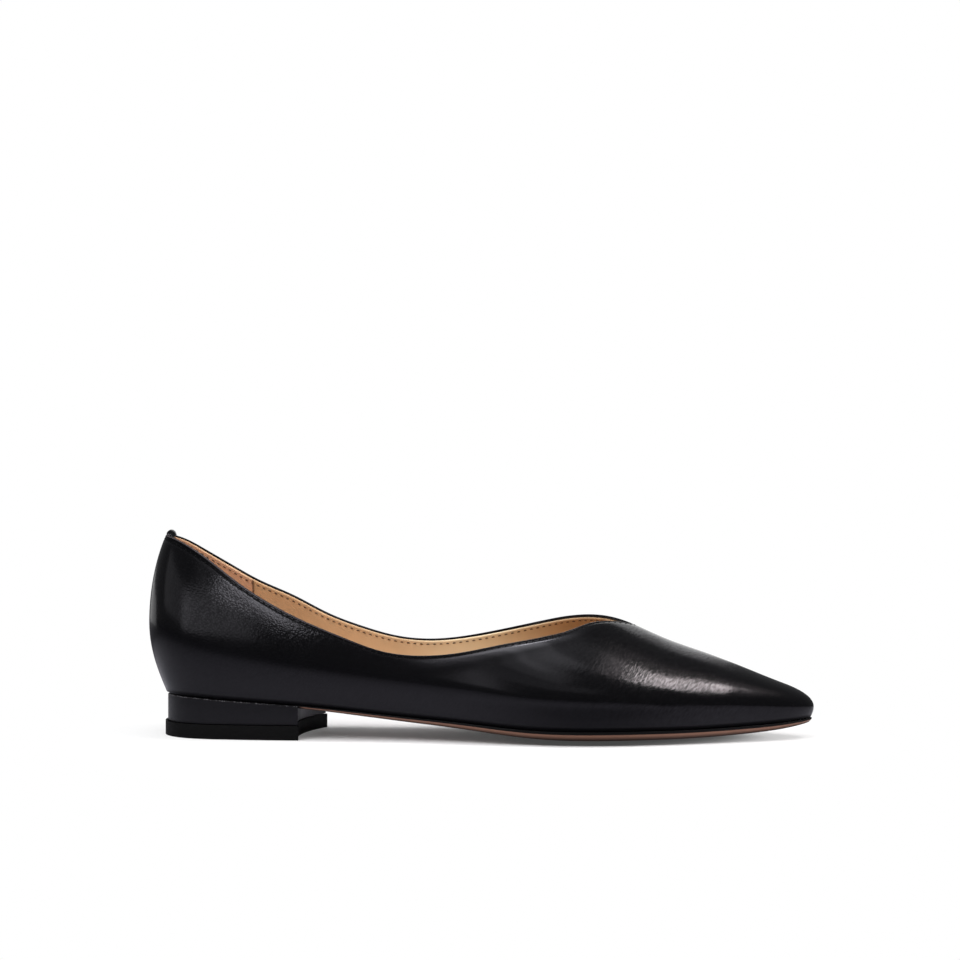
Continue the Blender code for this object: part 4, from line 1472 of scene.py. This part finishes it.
def floor_paper():
    """White paper that fades into the white surroundings away from the shoe; reflections and bounced light
    see a darker, bluish copy with painted shade.
    """
    paper = Surface("floor_paper", Roughness=0.85, Specular_IOR_Level=0.2, Emission_Color=(*WHITE, 1.0))

    def length(vector):
        return paper.node("ShaderNodeVectorMath", {"operation": "LENGTH"}, Vector=vector).outputs["Value"]

    cloud = paper.noise(9.0, 4.0)
    # Painted shade: reflections and bounced light see a darker, bluish paper, darker still beside the ball
    # and away from the shoe
    mirrored = paper.blend(cloud, (0.46, 0.46, 0.51), (0.49, 0.49, 0.54))
    from_ball = length(paper.turned((FLOOR_OVAL, 1.0, 1.0), place=BALL_SHADE_AT))
    mirrored = paper.blend(paper.spread(from_ball, BALL_SHADE, 0.0, *BALL_SHADE_FADE), mirrored, FLOOR_SHADE_TONE)
    away = length(paper.turned((FLOOR_OVAL, 1.0, 1.0)))
    mirrored = paper.blend(paper.spread(away, 0.0, 1.0, *FLOOR_DIM), mirrored, FLOOR_SHADE_TONE)

    shown = paper.blend(cloud, (0.78, 0.78, 0.79), (0.82, 0.82, 0.83))
    openness = paper.node(
        "ShaderNodeAmbientOcclusion", {"samples": CONTACT_SAMPLES}, Distance=CONTACT_REACH
    ).outputs["AO"]
    # Painted contact shadow: the floor darkens where ambient occlusion finds it closed in under the sole
    shown = paper.blend(paper.spread(openness, 1.0, 0.0, *CONTACT_FROM), shown, CONTACT_SHADOW_TONE)
    seen = paper.seen()
    paper.feed("Base Color", paper.blend(seen, mirrored, shown))
    paper.feed("Emission Strength", paper.spread(seen, 0.0, FLOOR_LIFT))

    faded = paper.spread(length(paper.place), 0.0, 1.0, *FLOOR_FADE)
    faded = paper.times(faded, paper.spread(openness, 0.0, 1.0, *CONTACT_FROM), seen)
    glow = paper.node("ShaderNodeEmission", Strength=seen)
    paper.mix_shaders(faded, paper.shader, glow, paper.tree.nodes["Material Output"])
    return paper.material


def build_floor():
    mesh = bpy.data.meshes.new("floor")
    corners = [(-1, -1), (1, -1), (1, 1), (-1, 1)]
    corners = [(x * FLOOR_REACH, y * FLOOR_REACH, FLOOR_HEIGHT) for x, y in corners]
    mesh.from_pydata(corners, [], [(0, 1, 2, 3)])
    mesh.materials.append(floor_paper())
    floor = bpy.data.objects.new("floor", mesh)
    bpy.context.scene.collection.objects.link(floor)


def build_panel(panel):
    """A soft light in its place in the studio, turned to face its aim."""
    data = bpy.data.lights.new(panel.name, "AREA")
    data.shape = "RECTANGLE"
    data.size, data.size_y = panel.size
    data.energy = panel.radiance * math.pi * panel.size[0] * panel.size[1]
    data.color = panel.colour
    light = bpy.data.objects.new(panel.name, data)
    light.location = panel.place
    light.rotation_mode = "QUATERNION"
    facing = (Vector(panel.aim) - Vector(panel.place)).to_track_quat("-Z", "Y")
    light.rotation_quaternion = facing @ Quaternion((0.0, 0.0, 1.0), math.radians(panel.roll))
    light.visible_glossy = panel.kind != LIGHT
    light.visible_diffuse = panel.kind != CARD
    light.visible_camera = False
    bpy.context.scene.collection.objects.link(light)


def build_surroundings():
    """White where the camera looks past the shoe; for the light, a dim room under a bright ceiling."""
    world = bpy.data.worlds.new("studio")
    world.use_nodes = True
    nodes = Nodes(world.node_tree)
    nodes.tree.nodes.clear()
    place = nodes.node("ShaderNodeTexCoord").outputs["Generated"]
    height = nodes.node("ShaderNodeSeparateXYZ", Vector=place).outputs["Z"]
    ceiling = nodes.spread(height, ROOM_GLOW, CEILING_GLOW, *CEILING_FROM, "SMOOTHSTEP")
    room = nodes.node("ShaderNodeBackground", Strength=ceiling, Color=ROOM_COLOUR)
    white = nodes.node("ShaderNodeBackground", Color=(*WHITE, 1.0))
    nodes.mix_shaders(nodes.seen(), room, white, nodes.node("ShaderNodeOutputWorld"))
    bpy.context.scene.world = world


def build_studio():
    for panel in PANELS:
        build_panel(panel)
    build_surroundings()
    bpy.context.scene.view_settings.view_transform = "Standard"


def build_camera():
    data = bpy.data.cameras.new("camera")
    data.lens = CAMERA_LENS
    data.sensor_width = CAMERA_SENSOR
    camera = bpy.data.objects.new("camera", data)
    camera.location = (
        CAMERA_AIM_X + CAMERA_DISTANCE * math.sin(CAMERA_TURN),
        -CAMERA_DISTANCE * math.cos(CAMERA_TURN),
        CAMERA_HEIGHT,
    )
    camera.rotation_euler = (math.pi / 2.0, 0.0, CAMERA_TURN)
    bpy.context.scene.collection.objects.link(camera)
    bpy.context.scene.camera = camera


build_shoe()
build_floor()
build_studio()
build_camera()
